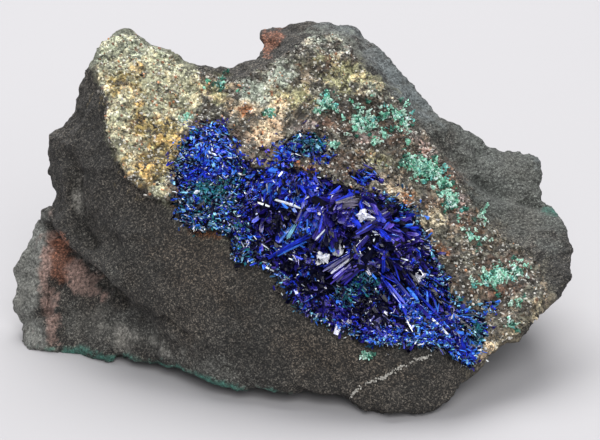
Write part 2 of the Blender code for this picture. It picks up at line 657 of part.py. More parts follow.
def main():
    clear_scene()
    dense, rock = make_table_and_rock()
    underlay = copy_of(rock, "underlay")
    grow(underlay, GAP)
    settle(underlay)
    vein_skin = make_skin("vein_skin", dense, GAP + VEIN_THICKNESS, VEIN_RELIEF, VEIN_TRIANGLES)
    vein = make_layer("vein_layer", vein_skin, VEIN_REGION, underlay)

    skin = make_skin("crust_skin", dense, GAP + CRUST_THICKNESS, CRUST_RELIEF, CRUST_TRIANGLES)
    surface = surface_of(skin)
    for crystal in make_blades(surface) + make_grains(surface):
        combine(skin, crystal, "UNION")
        remove(crystal)
    inlays = {}
    for name, region in inlay_regions().items():
        inlay = copy_of(skin, name)
        depth = min(nearness(sight_line(surface, *corner)) for corner in region) - INLAY_DEPTH
        column = prism("column", region, LAYER_NEAR, depth)
        combine(inlay, column, "INTERSECT")
        combine(inlay, underlay, "DIFFERENCE")
        keep_main_body(inlay)
        hollow = prism("hollow", region, LAYER_NEAR, depth, GAP)
        combine(vein, hollow, "DIFFERENCE")
        remove(column, hollow)
        inlays[name] = inlay
    keep_main_body(vein)
    crystals = set_cerussite(inlays["linarite_cluster"], surface)
    keep_main_body(inlays["linarite_cluster"])
    remove(dense, vein_skin, skin, underlay)

    finishes = {first_word: finish_of(*finish) for first_word, finish in FINISHES.items()}
    nodes = [rock, vein, *inlays.values(), *crystals]
    for node in nodes:
        node.data.materials.clear()
        node.data.materials.append(finishes[node.name.split("_")[0]])
    return centre_on_footprint(nodes)


if __name__ == "__main__":
    main()
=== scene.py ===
"""A linarite specimen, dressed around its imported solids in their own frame.

The front of the block is worked as it is looked at. A station is (across, up) in millimetres on a drawing
plane through the middle of the block that squarely faces the eye, VIEW_TILT above the table, and near is how
far a point stands in front of that plane. AIM is the middle of the plane in the shared frame.
"""

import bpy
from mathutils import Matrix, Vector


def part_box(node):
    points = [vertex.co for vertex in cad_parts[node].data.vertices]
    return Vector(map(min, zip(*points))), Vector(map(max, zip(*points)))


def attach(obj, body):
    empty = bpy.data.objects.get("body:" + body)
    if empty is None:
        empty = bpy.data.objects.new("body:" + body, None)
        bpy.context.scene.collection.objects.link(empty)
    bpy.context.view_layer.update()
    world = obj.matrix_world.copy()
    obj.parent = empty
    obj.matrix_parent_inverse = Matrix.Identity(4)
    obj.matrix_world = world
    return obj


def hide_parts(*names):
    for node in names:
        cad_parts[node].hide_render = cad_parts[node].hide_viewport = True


bl_info = {
    "name": "Linarite specimen",
    "version": (1, 0, 0),
    "blender": (4, 5, 0),
    "location": "3D View > Sidebar > Specimen",
    "description": "A block of dark rock with a vein crust, linarite blades, green druses and cerussite",
    "category": "Object",
}

import math
import random

import bmesh
import bpy
import numpy as np
from bpy.props import FloatProperty, FloatVectorProperty, IntProperty, PointerProperty
from mathutils import Matrix, Vector, noise
from mathutils.bvhtree import BVHTree

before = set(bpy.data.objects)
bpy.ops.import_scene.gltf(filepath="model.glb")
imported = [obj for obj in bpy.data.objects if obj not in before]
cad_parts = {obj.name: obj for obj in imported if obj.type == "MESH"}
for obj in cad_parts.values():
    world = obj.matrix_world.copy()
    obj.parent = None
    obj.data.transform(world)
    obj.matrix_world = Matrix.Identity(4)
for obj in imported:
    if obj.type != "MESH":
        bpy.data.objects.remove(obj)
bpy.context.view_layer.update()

MM = 0.001
VIEW_TILT = math.radians(20)
EYE_DISTANCE = 400.0
AIM = Vector((1.698, -7.149, 22.9)) * MM
LENS_MM = 160.0
SENSOR_MM = 36.0

# Regions of the front, each a closed run of stations.
PALE_CRUST = (
    (-31.6, 24.0), (-31.0, 27.6), (-28.0, 29.2), (-24.5, 29.4), (-21.0, 27.0), (-15.5, 24.0), (-13.8, 19.0),
    (-15.5, 15.0), (-18.8, 12.5), (-19.6, 7.0), (-20.0, 2.0), (-23.0, 4.5), (-26.0, 7.5), (-28.4, 11.0),
    (-29.2, 14.0), (-28.9, 18.0), (-30.6, 21.5),
)
BROWN_VEIN = (
    (-17.0, 24.0), (-11.5, 21.5), (-8.0, 20.5), (-6.0, 22.6), (-3.0, 24.0), (-0.5, 25.6), (1.2, 27.2),
    (4.5, 27.8), (7.0, 26.0), (8.8, 22.8), (12.5, 19.6), (16.5, 15.6), (19.5, 12.5), (22.5, 8.5),
    (25.5, 4.0), (29.0, 0.0), (32.5, -3.5), (36.5, -6.0), (38.5, -10.0), (37.4, -14.0), (33.4, -17.8),
    (28.2, -21.5), (26.0, -23.5), (24.0, -20.5), (16.0, -18.5), (5.5, -15.0), (-2.5, -8.0), (-10.5, -4.0),
    (-19.0, -0.5), (-20.5, 2.5), (-19.0, 8.0), (-18.0, 14.0), (-14.0, 18.0),
)
LINARITE_FIELD = (
    (-18.8, 8.5), (-17.0, 12.5), (-14.0, 14.2), (-10.8, 14.0), (-10.0, 10.8), (-8.0, 8.0), (-4.0, 7.3),
    (0.5, 7.4), (4.5, 5.8), (8.0, 4.6), (11.0, 3.9), (14.2, 3.0), (16.5, 1.2), (18.6, -2.0),
    (20.4, -5.0), (21.6, -8.0), (22.6, -11.0), (24.2, -13.2), (27.2, -13.8), (28.0, -15.8), (27.0, -19.5),
    (25.2, -22.0), (23.2, -20.4), (21.0, -19.0), (15.0, -18.7), (10.6, -18.6), (6.6, -16.4), (3.0, -15.0),
    (0.2, -13.4), (-1.8, -11.2), (-3.4, -8.2), (-5.7, -6.6), (-9.6, -6.1), (-10.2, -2.4), (-13.0, -1.3),
    (-15.6, -1.5), (-18.0, -0.2), (-18.3, 3.2),
)

# Runs of stations along which the rock is pushed in, or out where the depth is negative: (depth mm, half
# width mm, stations).
CREASES = (
    (1.5, 0.8, ((-37.4, -1.9), (-36.0, -4.0), (-33.8, -5.9), (-30.8, -8.1), (-28.6, -10.4), (-26.5, -12.6))),
    (-0.9, 0.8, ((-36.2, -0.4), (-34.4, -2.8), (-32.0, -4.8), (-29.0, -7.0), (-26.8, -9.4))),
    (0.9, 0.7, ((-33.4, 7.0), (-33.6, 3.0), (-33.0, -0.7), (-31.2, -3.8))),
    (1.5, 0.7, ((-36.2, -9.3), (-37.8, -11.0), (-38.3, -12.8), (-37.9, -13.8))),
    (0.7, 0.6, ((-42.0, -15.3), (-38.3, -13.6))),
    (0.8, 0.4, ((-20.6, -14.8), (-18.4, -16.4), (-16.4, -18.2))),
    (1.0, 0.5, ((-11.4, -22.3), (-10.6, -22.6))),
    (0.8, 0.8, ((20.8, 12.4), (25.5, 6.6), (30.0, 3.8), (36.0, 2.2))),
    (0.6, 0.5, ((-37.2, 1.8), (-37.4, -1.6))),
)
CALCITE_VEINLET = (
    (7.2, -27.4), (8.2, -25.8), (9.8, -24.5), (12.6, -23.6), (14.8, -22.2), (17.2, -21.0), (19.6, -20.4),
)

# Linear colours of the rock and its stains; two of them hold painted light and painted shade, as noted below.
ROCK_DARK = (0.060, 0.055, 0.047)
ROCK_BROWN = (0.085, 0.066, 0.048)
ROCK_GREEN_GREY = (0.150, 0.163, 0.146)
# Pale grey-green stone, partly painted light: strong on the lit left face of the lobe, faint on the recess.
PALE_ROCK_AND_LIGHT = (0.385, 0.395, 0.360)
SLATE_BLUE = (0.300, 0.350, 0.365)
BRICK = (0.480, 0.190, 0.110)
PINK = (0.560, 0.370, 0.310)
TEAL_STAIN = (0.080, 0.300, 0.235)
CALCITE = (0.500, 0.480, 0.430)
BUFF = (0.390, 0.385, 0.265)
OCHRE = (0.300, 0.215, 0.070)
PALE_GREEN = (0.340, 0.375, 0.280)
VEIN_GREY = (0.115, 0.107, 0.083)
CREAM = (0.600, 0.470, 0.320)
GREEN_BUFF = (0.330, 0.315, 0.175)
FROSTED = (0.400, 0.440, 0.370)
MATRIX_DARK = (0.040, 0.032, 0.024)
UMBER = (0.085, 0.052, 0.036)
LILAC_QUARTZ = (0.290, 0.230, 0.220)
RUST = (0.230, 0.080, 0.022)
BEIGE = (0.380, 0.320, 0.220)
DRIFT_BROWN = (0.16, 0.13, 0.10)
LUMP_BROWN = (0.07, 0.045, 0.028)
# Near-black painted shade for the pits and cracks of the vein.
PIT_SHADE_COLOUR = (0.020, 0.017, 0.012)
CLOUD_RUST = (0.2, 0.08, 0.025)
SPECK_WHITE = (0.65, 0.64, 0.58)
GRAIN_WHITE = (0.62, 0.60, 0.55)
GRAIN_DARK = (0.035, 0.030, 0.022)
GRAIN_RUSTY = (0.30, 0.14, 0.07)

# Each coat of colour is (tint, strength, raggedness mm, softness mm, regions, spots), laid in this order.
# A spot is (across, up, half width, half height, turn in degrees).
COATS = (
    (ROCK_GREEN_GREY, 0.9, 2.0, 3.0, (), ((31.0, 5.0, 11.0, 8.0, -30), (20.0, 17.0, 12.0, 3.5, -40))),
    (
        ROCK_BROWN, 0.7, 2.0, 3.0, (),
        ((-15.0, -6.0, 7.0, 4.0, -30), (-9.0, -12.0, 3.0, 2.0, 0), (6.0, -20.5, 9.0, 2.5, -12)),
    ),
    # Pale stone on the left face of the lobe, brightened as painted light on that face.
    (PALE_ROCK_AND_LIGHT, 0.95, 0.8, 0.9, (), ((-41.0, -8.0, 2.6, 10.0, -10), (-39.8, -18.0, 1.6, 3.0, 0))),
    # A faint wash of the same on the recess under the front, painted light on that underside.
    (
        PALE_ROCK_AND_LIGHT, 0.25, 1.5, 2.0, (),
        ((-28.0, -16.6, 8.5, 3.2, -12), (-14.0, -22.2, 6.0, 1.6, -20), (-31.0, -9.0, 3.0, 1.6, -30)),
    ),
    (
        SLATE_BLUE, 0.6, 1.0, 1.2, (),
        (
            (14.0, 21.5, 7.0, 1.3, -48), (18.0, 18.0, 4.0, 1.0, -50), (7.0, 28.3, 3.0, 0.8, -12),
            (36.2, 9.0, 1.4, 1.0, 0),
        ),
    ),
    (
        BRICK, 0.8, 0.9, 0.5, (),
        (
            (-36.0, -6.0, 1.9, 3.6, 12), (-34.4, -7.8, 1.8, 1.4, 0), (-4.9, 26.6, 1.0, 2.0, 0),
            (-3.4, 27.4, 0.8, 1.0, 0),
        ),
    ),
    (
        PINK, 0.95, 1.0, 0.8, (),
        ((-32.6, -8.8, 3.4, 1.8, -38), (-37.0, -15.2, 0.9, 4.0, 6), (-38.2, -7.0, 0.5, 3.4, -4)),
    ),
    (
        CALCITE, 0.7, 0.9, 0.8, (),
        ((-26.0, -16.9, 3.4, 0.7, -24), (-24.0, -19.0, 2.6, 0.4, -10), (-33.2, 2.6, 0.5, 2.2, 0)),
    ),
    (
        TEAL_STAIN, 0.9, 0.6, 0.6, (),
        (
            (-33.0, -19.8, 3.0, 0.5, -5), (-28.0, -20.8, 3.2, 0.6, -5), (-21.0, -22.2, 4.6, 0.7, -14),
            (-12.5, -24.9, 3.6, 0.9, -16), (-6.0, -26.2, 3.4, 0.6, -4), (38.4, 1.3, 1.6, 0.4, -10),
        ),
    ),
    (VEIN_GREY, 1.0, 1.0, 1.0, (BROWN_VEIN,), ()),
    (
        GREEN_BUFF, 0.95, 1.4, 1.2, (),
        (
            (-1.8, 18.6, 3.4, 1.8, 0), (7.5, 20.8, 5.0, 2.6, -15), (2.0, 23.6, 2.6, 1.2, 30),
            (-13.0, 19.5, 2.0, 1.4, 0), (10.4, 9.6, 2.2, 1.0, 0),
        ),
    ),
    (
        FROSTED, 0.9, 1.2, 1.0, (),
        (
            (-2.6, 21.4, 2.4, 1.6, 25), (-6.6, 19.2, 2.4, 2.2, 40), (4.4, 26.6, 3.6, 1.5, 0),
            (11.0, 19.0, 2.0, 1.0, -30),
        ),
    ),
    (
        MATRIX_DARK, 0.95, 1.6, 1.2, (),
        (
            (10.5, 14.6, 6.5, 4.0, -30), (24.0, -9.5, 2.2, 4.6, 20), (1.4, 22.6, 2.0, 1.1, 0),
            (3.8, 26.2, 1.4, 0.7, 0), (-15.5, 14.6, 2.0, 2.4, 0), (26.0, -1.6, 5.0, 1.2, -40),
            (29.0, -12.5, 4.0, 1.2, -30), (29.6, -8.2, 4.6, 3.0, 15),
        ),
    ),
    (
        UMBER, 0.9, 1.2, 1.0, (),
        (
            (6.6, 8.6, 3.0, 2.2, 0), (-6.0, 10.2, 2.0, 1.2, 0), (-9.6, 11.8, 1.8, 1.8, 0),
            (14.0, 12.4, 2.4, 1.0, 0), (19.6, 7.4, 4.6, 2.4, -32), (23.0, 1.8, 1.8, 3.2, 25),
            (30.4, -8.2, 4.2, 2.8, 15), (19.0, 2.6, 1.4, 1.0, 0), (17.5, -0.2, 1.0, 2.2, 30),
            (3.6, 14.4, 2.6, 0.8, -10),
        ),
    ),
    (
        CREAM, 0.9, 0.8, 0.8, (),
        (
            (-5.0, 13.2, 2.2, 2.6, 10), (-8.0, 16.6, 2.2, 1.2, 0), (15.0, 4.2, 2.0, 0.8, -10),
            (-3.4, 16.6, 1.2, 1.0, 0),
        ),
    ),
    (
        LILAC_QUARTZ, 0.8, 0.8, 0.7, (),
        (
            (1.0, 13.8, 1.8, 0.9, 0), (24.4, 2.6, 0.9, 1.2, 20), (10.0, 12.6, 1.6, 0.7, 0),
            (17.4, 12.4, 0.7, 3.6, 38),
        ),
    ),
    (
        BEIGE, 0.9, 1.0, 0.9, (),
        (
            (30.4, -18.9, 4.6, 1.3, 40), (35.4, -13.6, 2.4, 1.0, 50), (20.5, 0.2, 1.6, 1.6, 0),
            (18.4, -0.6, 1.0, 1.4, 0),
        ),
    ),
    (BUFF, 1.0, 0.7, 0.6, (PALE_CRUST,), ()),
    (PALE_GREEN, 0.85, 1.6, 1.6, (), ((-25.5, 26.3, 6.0, 2.6, -10), (-30.0, 25.0, 2.0, 2.0, 0))),
    (
        OCHRE, 0.9, 2.2, 1.6, (),
        (
            (-22.4, 8.4, 3.0, 3.4, -30), (-20.0, 12.5, 1.8, 3.5, 0), (-26.5, 20.5, 2.2, 1.0, 40),
            (-24.0, 15.5, 1.0, 3.0, 20),
        ),
    ),
    (
        RUST, 0.9, 0.9, 0.6, (),
        (
            (-8.2, 16.2, 0.9, 0.5, 0), (1.0, 7.7, 1.9, 0.8, -15), (16.3, 3.6, 0.7, 0.9, 0),
            (-14.6, 14.6, 1.0, 0.5, 0), (-14.6, -1.6, 1.0, 0.4, 0), (-11.6, -2.0, 1.6, 0.5, 0),
            (-18.0, 1.2, 0.5, 1.6, 0), (21.2, -4.6, 0.8, 1.0, 0),
        ),
    ),
)

# Linear colours of the crystals, and the shares in which they mix in each part of the linarite.
# The near-black below is partly the crystal's own deep colour and partly painted shade in the gaps between
# the blades.
NEAR_BLACK_AND_SHADE = (0.003, 0.003, 0.012)
INDIGO = (0.012, 0.009, 0.130)
ROYAL = (0.012, 0.028, 0.430)
VIOLET = (0.055, 0.038, 0.300)
MAUVE = (0.110, 0.070, 0.460)
AZURE = (0.035, 0.150, 0.640)
STEEL = (0.030, 0.095, 0.190)
CYAN = (0.180, 0.430, 0.600)
SEA = (0.012, 0.110, 0.130)
# A pale lilac grey: painted sheen on flat blade faces that catch the light.
LILAC_SHEEN = (0.150, 0.135, 0.200)
# White, mostly painted glints on blade faces, with a few small white crystals among the blades.
GLINT_AND_WHITE_CRYSTAL = (0.660, 0.710, 0.820)
CERUSSITE_MILK = (0.62, 0.64, 0.74)
# The base mix of the crust and the gap mix are mostly near-black: painted shade in the hollows between the
# blades.
MIXES = {
    "base": ((NEAR_BLACK_AND_SHADE, 70), (INDIGO, 25), (ROYAL, 5)),
    "gap": ((NEAR_BLACK_AND_SHADE, 84), (INDIGO, 8), (AZURE, 4), (GLINT_AND_WHITE_CRYSTAL, 4)),
    "deep": ((NEAR_BLACK_AND_SHADE, 44), (INDIGO, 26), (ROYAL, 16), (VIOLET, 6), (AZURE, 5), (GLINT_AND_WHITE_CRYSTAL, 3)),
    "faces": ((NEAR_BLACK_AND_SHADE, 28), (INDIGO, 36), (VIOLET, 24), (ROYAL, 10), (GLINT_AND_WHITE_CRYSTAL, 2)),
    "royal": ((ROYAL, 46), (INDIGO, 14), (AZURE, 18), (NEAR_BLACK_AND_SHADE, 18), (GLINT_AND_WHITE_CRYSTAL, 4)),
    "fine": ((NEAR_BLACK_AND_SHADE, 40), (STEEL, 16), (ROYAL, 12), (SEA, 8), (AZURE, 9), (CYAN, 6), (GLINT_AND_WHITE_CRYSTAL, 9)),
    "azure": ((ROYAL, 30), (AZURE, 34), (CYAN, 8), (NEAR_BLACK_AND_SHADE, 22), (GLINT_AND_WHITE_CRYSTAL, 6)),
    "tail": ((NEAR_BLACK_AND_SHADE, 32), (INDIGO, 10), (ROYAL, 22), (AZURE, 20), (STEEL, 8), (CYAN, 3), (GLINT_AND_WHITE_CRYSTAL, 5)),
    "teal": ((SEA, 44), (STEEL, 26), (NEAR_BLACK_AND_SHADE, 26), (CYAN, 4)),
    "rim": ((CYAN, 14), (AZURE, 16), (STEEL, 18), (SEA, 10), (NEAR_BLACK_AND_SHADE, 30), (GLINT_AND_WHITE_CRYSTAL, 12)),
}
# Where each mix holds, as spots like those above. What no spot covers is deep.
MIX_SPOTS = (
    ("teal", (9.8, -9.6, 1.8, 1.3, 0)),
    ("teal", (6.9, -11.2, 1.3, 1.4, 0)),
    ("teal", (26.2, -17.0, 1.0, 1.6, 10)),
    ("teal", (-13.4, 4.2, 2.2, 1.6, 0)),
    # Gap spots mark painted shade: hollows where the blades are painted near-black.
    ("gap", (-5.0, -1.2, 2.2, 3.2, -15)),
    ("gap", (-1.6, 0.8, 1.2, 1.4, 0)),
    ("gap", (3.4, -10.4, 3.2, 2.4, -15)),
    ("gap", (9.6, -3.2, 2.6, 2.0, -30)),
    ("gap", (11.6, -13.4, 3.6, 2.4, -10)),
    ("gap", (-2.6, -6.4, 2.0, 1.4, -20)),
    ("azure", (-1.6, -1.6, 0.9, 3.0, -28)),
    ("azure", (-12.2, 9.4, 1.0, 1.6, 0)),
    ("azure", (-12.6, 11.2, 3.4, 2.8, 0)),
    ("royal", (-13.4, 7.4, 3.4, 1.6, 20)),
    ("royal", (-3.2, 4.8, 4.2, 2.4, 0)),
    ("royal", (1.0, 1.4, 2.0, 4.4, -20)),
    ("azure", (17.6, -13.0, 2.4, 1.8, -45)),
    ("azure", (12.8, -17.9, 2.8, 0.8, 0)),
    ("azure", (17.6, -18.0, 1.4, 0.8, 0)),
    ("royal", (21.6, -12.4, 2.2, 2.8, 0)),
    ("royal", (24.4, -18.4, 1.4, 1.6, 0)),
    ("faces", (5.0, -1.6, 3.4, 2.6, -10)),
    ("faces", (14.0, -3.0, 3.4, 2.4, -30)),
    ("faces", (5.6, -7.6, 3.0, 1.8, 30)),
    ("faces", (14.8, -7.4, 2.6, 1.8, -30)),
    ("tail", (21.5, -15.5, 8.0, 4.6, -50)),
    ("fine", (-14.2, 5.2, 5.4, 9.4, 0)),
    ("fine", (-6.6, -3.0, 2.6, 2.4, 0)),
    ("royal", (-2.6, 9.4, 1.4, 1.3, 0)),
    ("teal", (1.2, 11.4, 1.4, 0.8, 0)),
    ("royal", (3.0, 9.8, 1.1, 0.9, 0)),
    ("royal", (9.5, 6.2, 1.4, 1.0, 0)),
    ("fine", (0.8, 10.6, 4.0, 2.6, 0)),
)
# Small patches of linarite outside the main field, as spots.
OUTLYING = (
    (-2.4, 9.6, 1.6, 1.6, 0),
    (1.0, 11.2, 2.4, 1.2, 0),
    (3.2, 9.7, 1.1, 0.9, 0),
    (9.6, 6.2, 1.3, 0.9, 0),
    (27.6, -13.4, 1.4, 0.7, 20),
)

# Blades that are placed one by one: (across, up) of the root, then of the tip, width mm, lift mm and tint.
LONE_BLADES = (
    # The white blades in this list are painted glints, with a few small white crystals among them.
    (-3.9, 3.1, 0.2, 1.8, 0.34, 2.4, GLINT_AND_WHITE_CRYSTAL),
    (-3.2, 2.5, 0.0, 1.5, 0.3, 2.2, GLINT_AND_WHITE_CRYSTAL),
    (-6.3, 2.6, -4.5, 2.0, 0.3, 1.2, GLINT_AND_WHITE_CRYSTAL),
    (-2.3, 0.1, -1.3, 1.4, 0.18, 1.0, GLINT_AND_WHITE_CRYSTAL),
    (-5.7, -3.6, -4.6, -4.4, 0.2, 1.2, GLINT_AND_WHITE_CRYSTAL),
    (0.2, 0.9, -2.6, -3.4, 1.0, 1.3, AZURE),
    (0.9, 3.0, -1.0, -1.2, 1.0, 1.1, ROYAL),
    (1.7, 2.2, -0.5, -2.5, 0.8, 0.9, ROYAL),
    (-0.6, -0.6, -2.2, -3.2, 0.5, 1.7, CYAN),
    (-4.8, -5.7, 1.7, -2.1, 0.6, 1.4, ROYAL),
    (-3.4, -5.4, 2.0, -2.7, 0.3, 1.6, AZURE),
    (-6.4, 1.6, -4.0, -2.6, 0.9, 0.7, INDIGO),
    (-7.6, 0.6, -5.6, -3.4, 0.9, 0.7, INDIGO),
    (-4.6, 1.4, -2.8, -2.4, 0.6, 0.8, VIOLET),
    (2.5, -3.2, 6.1, 2.0, 2.6, 1.2, VIOLET),
    (4.2, 2.8, 6.4, 4.4, 1.4, 1.0, INDIGO),
    (5.4, 2.4, 8.8, 3.0, 2.0, 1.3, LILAC_SHEEN),
    (8.4, -2.1, 10.9, -0.5, 1.0, 1.4, MAUVE),
    (12.6, -1.5, 14.0, -0.1, 0.9, 1.3, MAUVE),
    (10.4, -0.6, 13.6, 1.4, 1.2, 1.0, INDIGO),
    (13.6, -4.0, 16.0, -2.6, 1.2, 1.3, VIOLET),
    (12.3, -5.5, 17.0, -7.5, 1.2, 1.4, VIOLET),
    (12.4, -6.8, 15.8, -8.8, 0.7, 1.2, LILAC_SHEEN),
    (11.6, -4.6, 15.4, -5.6, 0.9, 1.1, INDIGO),
    (7.6, -5.3, 3.6, -7.9, 1.5, 1.3, INDIGO),
    (7.9, -6.4, 4.4, -9.4, 1.3, 1.2, VIOLET),
    (6.3, -4.4, 2.6, -6.4, 1.1, 1.1, INDIGO),
    (8.8, -7.4, 6.0, -9.6, 0.9, 1.0, VIOLET),
    (11.7, -3.0, 8.1, -8.2, 1.1, 0.8, NEAR_BLACK_AND_SHADE),
    (10.2, -2.4, 6.9, -6.2, 0.9, 0.9, INDIGO),
    (13.2, -7.6, 16.8, -12.0, 0.9, 1.0, ROYAL),
    (14.4, -7.2, 17.9, -11.4, 0.8, 1.1, INDIGO),
    (12.0, -8.2, 15.6, -12.8, 0.7, 0.9, ROYAL),
    (15.3, -9.4, 18.2, -12.6, 0.5, 1.2, AZURE),
    (16.4, -11.4, 20.0, -15.2, 0.45, 1.1, AZURE),
    (17.6, -11.0, 21.2, -14.8, 0.4, 1.2, ROYAL),
    (19.8, -14.8, 22.2, -17.2, 0.35, 1.4, GLINT_AND_WHITE_CRYSTAL),
    (15.8, -14.6, 17.0, -17.0, 0.3, 1.3, GLINT_AND_WHITE_CRYSTAL),
    (20.0, -10.6, 21.4, -14.0, 0.9, 1.2, VIOLET),
    (24.0, -17.2, 24.6, -20.2, 0.8, 1.1, ROYAL),
    (-16.6, 6.9, -15.2, 7.8, 0.25, 1.0, ROYAL),
    (-11.8, 11.7, -11.0, 12.7, 0.28, 1.0, GLINT_AND_WHITE_CRYSTAL),
    (-10.6, 9.9, -9.7, 11.2, 0.28, 1.0, GLINT_AND_WHITE_CRYSTAL),
    (-15.9, 3.9, -15.0, 4.5, 0.4, 1.0, GLINT_AND_WHITE_CRYSTAL),
    (-15.8, 1.2, -14.1, 3.0, 0.5, 0.9, AZURE),
    (-11.1, 3.2, -9.7, 4.3, 0.2, 1.0, GLINT_AND_WHITE_CRYSTAL),
)

# Fans of long blades: (across, up, heading, opening, blades, length mm, width mm, mix), with headings and
# openings in degrees. FAN_CROWDING multiplies the number of blades in every fan.
FAN_CROWDING = 1.8
# Fans of the gap mix are mostly near-black blades: painted shade in the hollows.
FANS = (
    (1.2, 3.0, 238, 40, 16, 5.0, 0.9, "royal"),
    (0.0, 4.4, 265, 70, 16, 3.6, 1.0, "royal"),
    (-3.2, 4.6, 215, 60, 16, 3.2, 0.9, "royal"),
    (-5.2, 2.0, 250, 70, 20, 4.6, 0.8, "gap"),
    (5.6, 2.8, 210, 36, 12, 5.0, 1.8, "faces"),
    (7.0, 1.4, 245, 44, 12, 4.6, 1.8, "faces"),
    (9.6, 2.2, 300, 50, 18, 4.4, 1.3, "deep"),
    (4.6, -2.6, 262, 60, 22, 4.2, 1.2, "deep"),
    (8.4, -3.8, 225, 46, 24, 5.0, 1.0, "deep"),
    (2.6, -6.6, 230, 70, 20, 4.0, 1.0, "gap"),
    (12.4, -2.2, 318, 34, 22, 5.4, 1.3, "deep"),
    (14.4, -0.4, 350, 60, 18, 3.8, 1.1, "deep"),
    (13.2, -6.8, 315, 40, 24, 5.2, 1.0, "deep"),
    (16.8, -8.4, 305, 30, 26, 5.4, 0.7, "deep"),
    (18.6, -9.6, 290, 40, 24, 4.8, 0.7, "royal"),
    (20.4, -12.4, 300, 36, 24, 4.2, 0.6, "tail"),
    (23.0, -15.0, 310, 40, 22, 4.0, 0.6, "tail"),
    (6.6, -9.6, 200, 70, 18, 3.6, 1.0, "gap"),
    (10.8, -11.0, 250, 90, 20, 3.4, 0.9, "gap"),
    (14.6, -13.6, 270, 80, 20, 3.2, 0.8, "deep"),
    (3.0, -11.4, 240, 60, 18, 3.4, 0.9, "deep"),
    (-6.0, -3.2, 235, 60, 18, 3.2, 0.8, "deep"),
)

MINT = (0.290, 0.630, 0.470)
TURQUOISE = (0.150, 0.500, 0.450)
GRASS = (0.110, 0.400, 0.250)
DEEP_GREEN = (0.025, 0.130, 0.090)
PALE_MINT = (0.500, 0.740, 0.600)
DRUSE_TINTS = (MINT, TURQUOISE, GRASS, DEEP_GREEN, PALE_MINT)
DRUSE_SHARES = (30, 8, 10, 22, 30)
# Each druse is (across, up, half width, half height, turn in degrees, crystals), in the order of the nodes.
DRUSES = (
    (-11.8, 20.2, 2.0, 1.3, 0, 170),
    (9.4, 14.6, 3.2, 2.8, -30, 1150),
    (4.0, 17.8, 2.4, 1.6, 10, 300),
    (18.6, 7.8, 4.0, 2.1, -32, 2200),
    (22.4, 2.8, 1.6, 2.8, 25, 1000),
    (30.2, -8.4, 3.4, 1.9, 15, 1700),
    (31.7, -15.6, 1.2, 0.9, 0, 130),
)
# Thin sprinklings of the same crystals away from the druses.
SPECKS = (
    (-4.6, 15.8, 1.4, 0.8, 0, 130),
    (2.4, 16.2, 0.9, 0.9, 0, 60),
    (5.2, 11.0, 0.9, 0.6, 0, 90),
    (11.2, 11.4, 0.9, 0.7, 0, 90),
    (14.4, 15.4, 3.6, 2.6, -35, 600),
    (27.4, 0.2, 1.4, 1.6, 20, 90),
    (-17.4, 15.0, 1.2, 0.5, 0, 50),
    (25.4, -2.4, 4.0, 1.4, -45, 160),
    (10.6, -20.3, 2.6, 0.25, 6, 110),
    (33.0, -12.4, 2.6, 1.6, 40, 70),
)

LINARITE_NODES = ("linarite_cluster", "linarite_satellite_high", "linarite_satellite_right")
DRUSE_NODES = tuple(f"green_druse_{number}" for number in range(1, len(DRUSES) + 1))
CERUSSITE_NUMBERS = (1, 2, 3, 4)

# Relief pushed into a surface, each row of it (name, kind of noise, size mm, depth mm, contrast).
ROCK_RELIEF = (
    ("broken_lumps", "CLOUDS", 3.2, 0.9, 1.3),
    ("flakes", "VORONOI", 2.4, 0.5, 1.0),
    ("crumbs", "CLOUDS", 0.9, 0.35, 1.5),
)
VEIN_RELIEF = (
    ("quartz_lumps", "CLOUDS", 1.6, 1.2, 1.4),
    ("quartz_chips", "VORONOI", 0.9, 0.5, 1.0),
)
ROCK_SOFT_ROUNDS = 2
VEIN_SOFT_ROUNDS = 4
VEIN_SWELL = 0.25
CRUST_SWELL = 0.12
MERGE_DISTANCE = 0.002
FACET_ANGLE = math.radians(6)

# How the painted stains break up: sizes of their ragged edges in millimetres, and the shares of the two.
RAGGED_FEATURE = 2.6
CRUMBLED_FEATURE = 0.8
RAGGED_SHARE = 0.7
CRUMBLED_SHARE = 0.5
FACING_GAIN = 3.0
FACING_BASE = 0.4

# Patterns in the rock and the vein. Sizes and depths are in millimetres, a range is where a pattern
# starts and where it is full, a brightness is a factor and a base, and a curve is a power.
BLOTCH = 4.0
BLOTCH_RANGE = (-0.4, 1.0)
SPECKLE = 0.4
SPECKLE_RANGE = (0.2, 0.65)
DRIFT = 11.0
DRIFT_RANGE = (0.45, 0.7)
DRIFT_SHARE = 0.3
DARK_ROCK_CURVE = 3.0
DARK_ROCK_BRIGHTNESS = (3.6, 0.2)
PALE_ROCK_BRIGHTNESS = (0.7, 0.6)
PALE_ROCK_RANGE = (0.06, 0.2)
ROCK_PIT = 0.6
ROCK_BUMP = 0.5
GRAIN_IN_BUMP = 0.6
QUARTZ_GRAIN = 0.7
QUARTZ_CURVE = 1.5
QUARTZ_BRIGHTNESS = (1.1, 0.12)
QUARTZ_CRUMB = 0.3
CRUMB_CURVE = 2.5
CRUMB_BRIGHTNESS = 1.5
DARK_VEIN_RANGE = (0.42, 0.16)
BOLDNESS = (0.65, 0.35)
QUARTZ_LUMP = 1.7
PALE_LUMP_RANGE = (0.7, 0.74)
PALE_LUMP_GAIN = (1.9, 1.6, 1.5)
BROWN_LUMP_RANGE = (0.2, 0.24)
BROWN_LUMP_SHARE = 0.65
VEIN_TONE = (0.90, 0.91, 0.87)
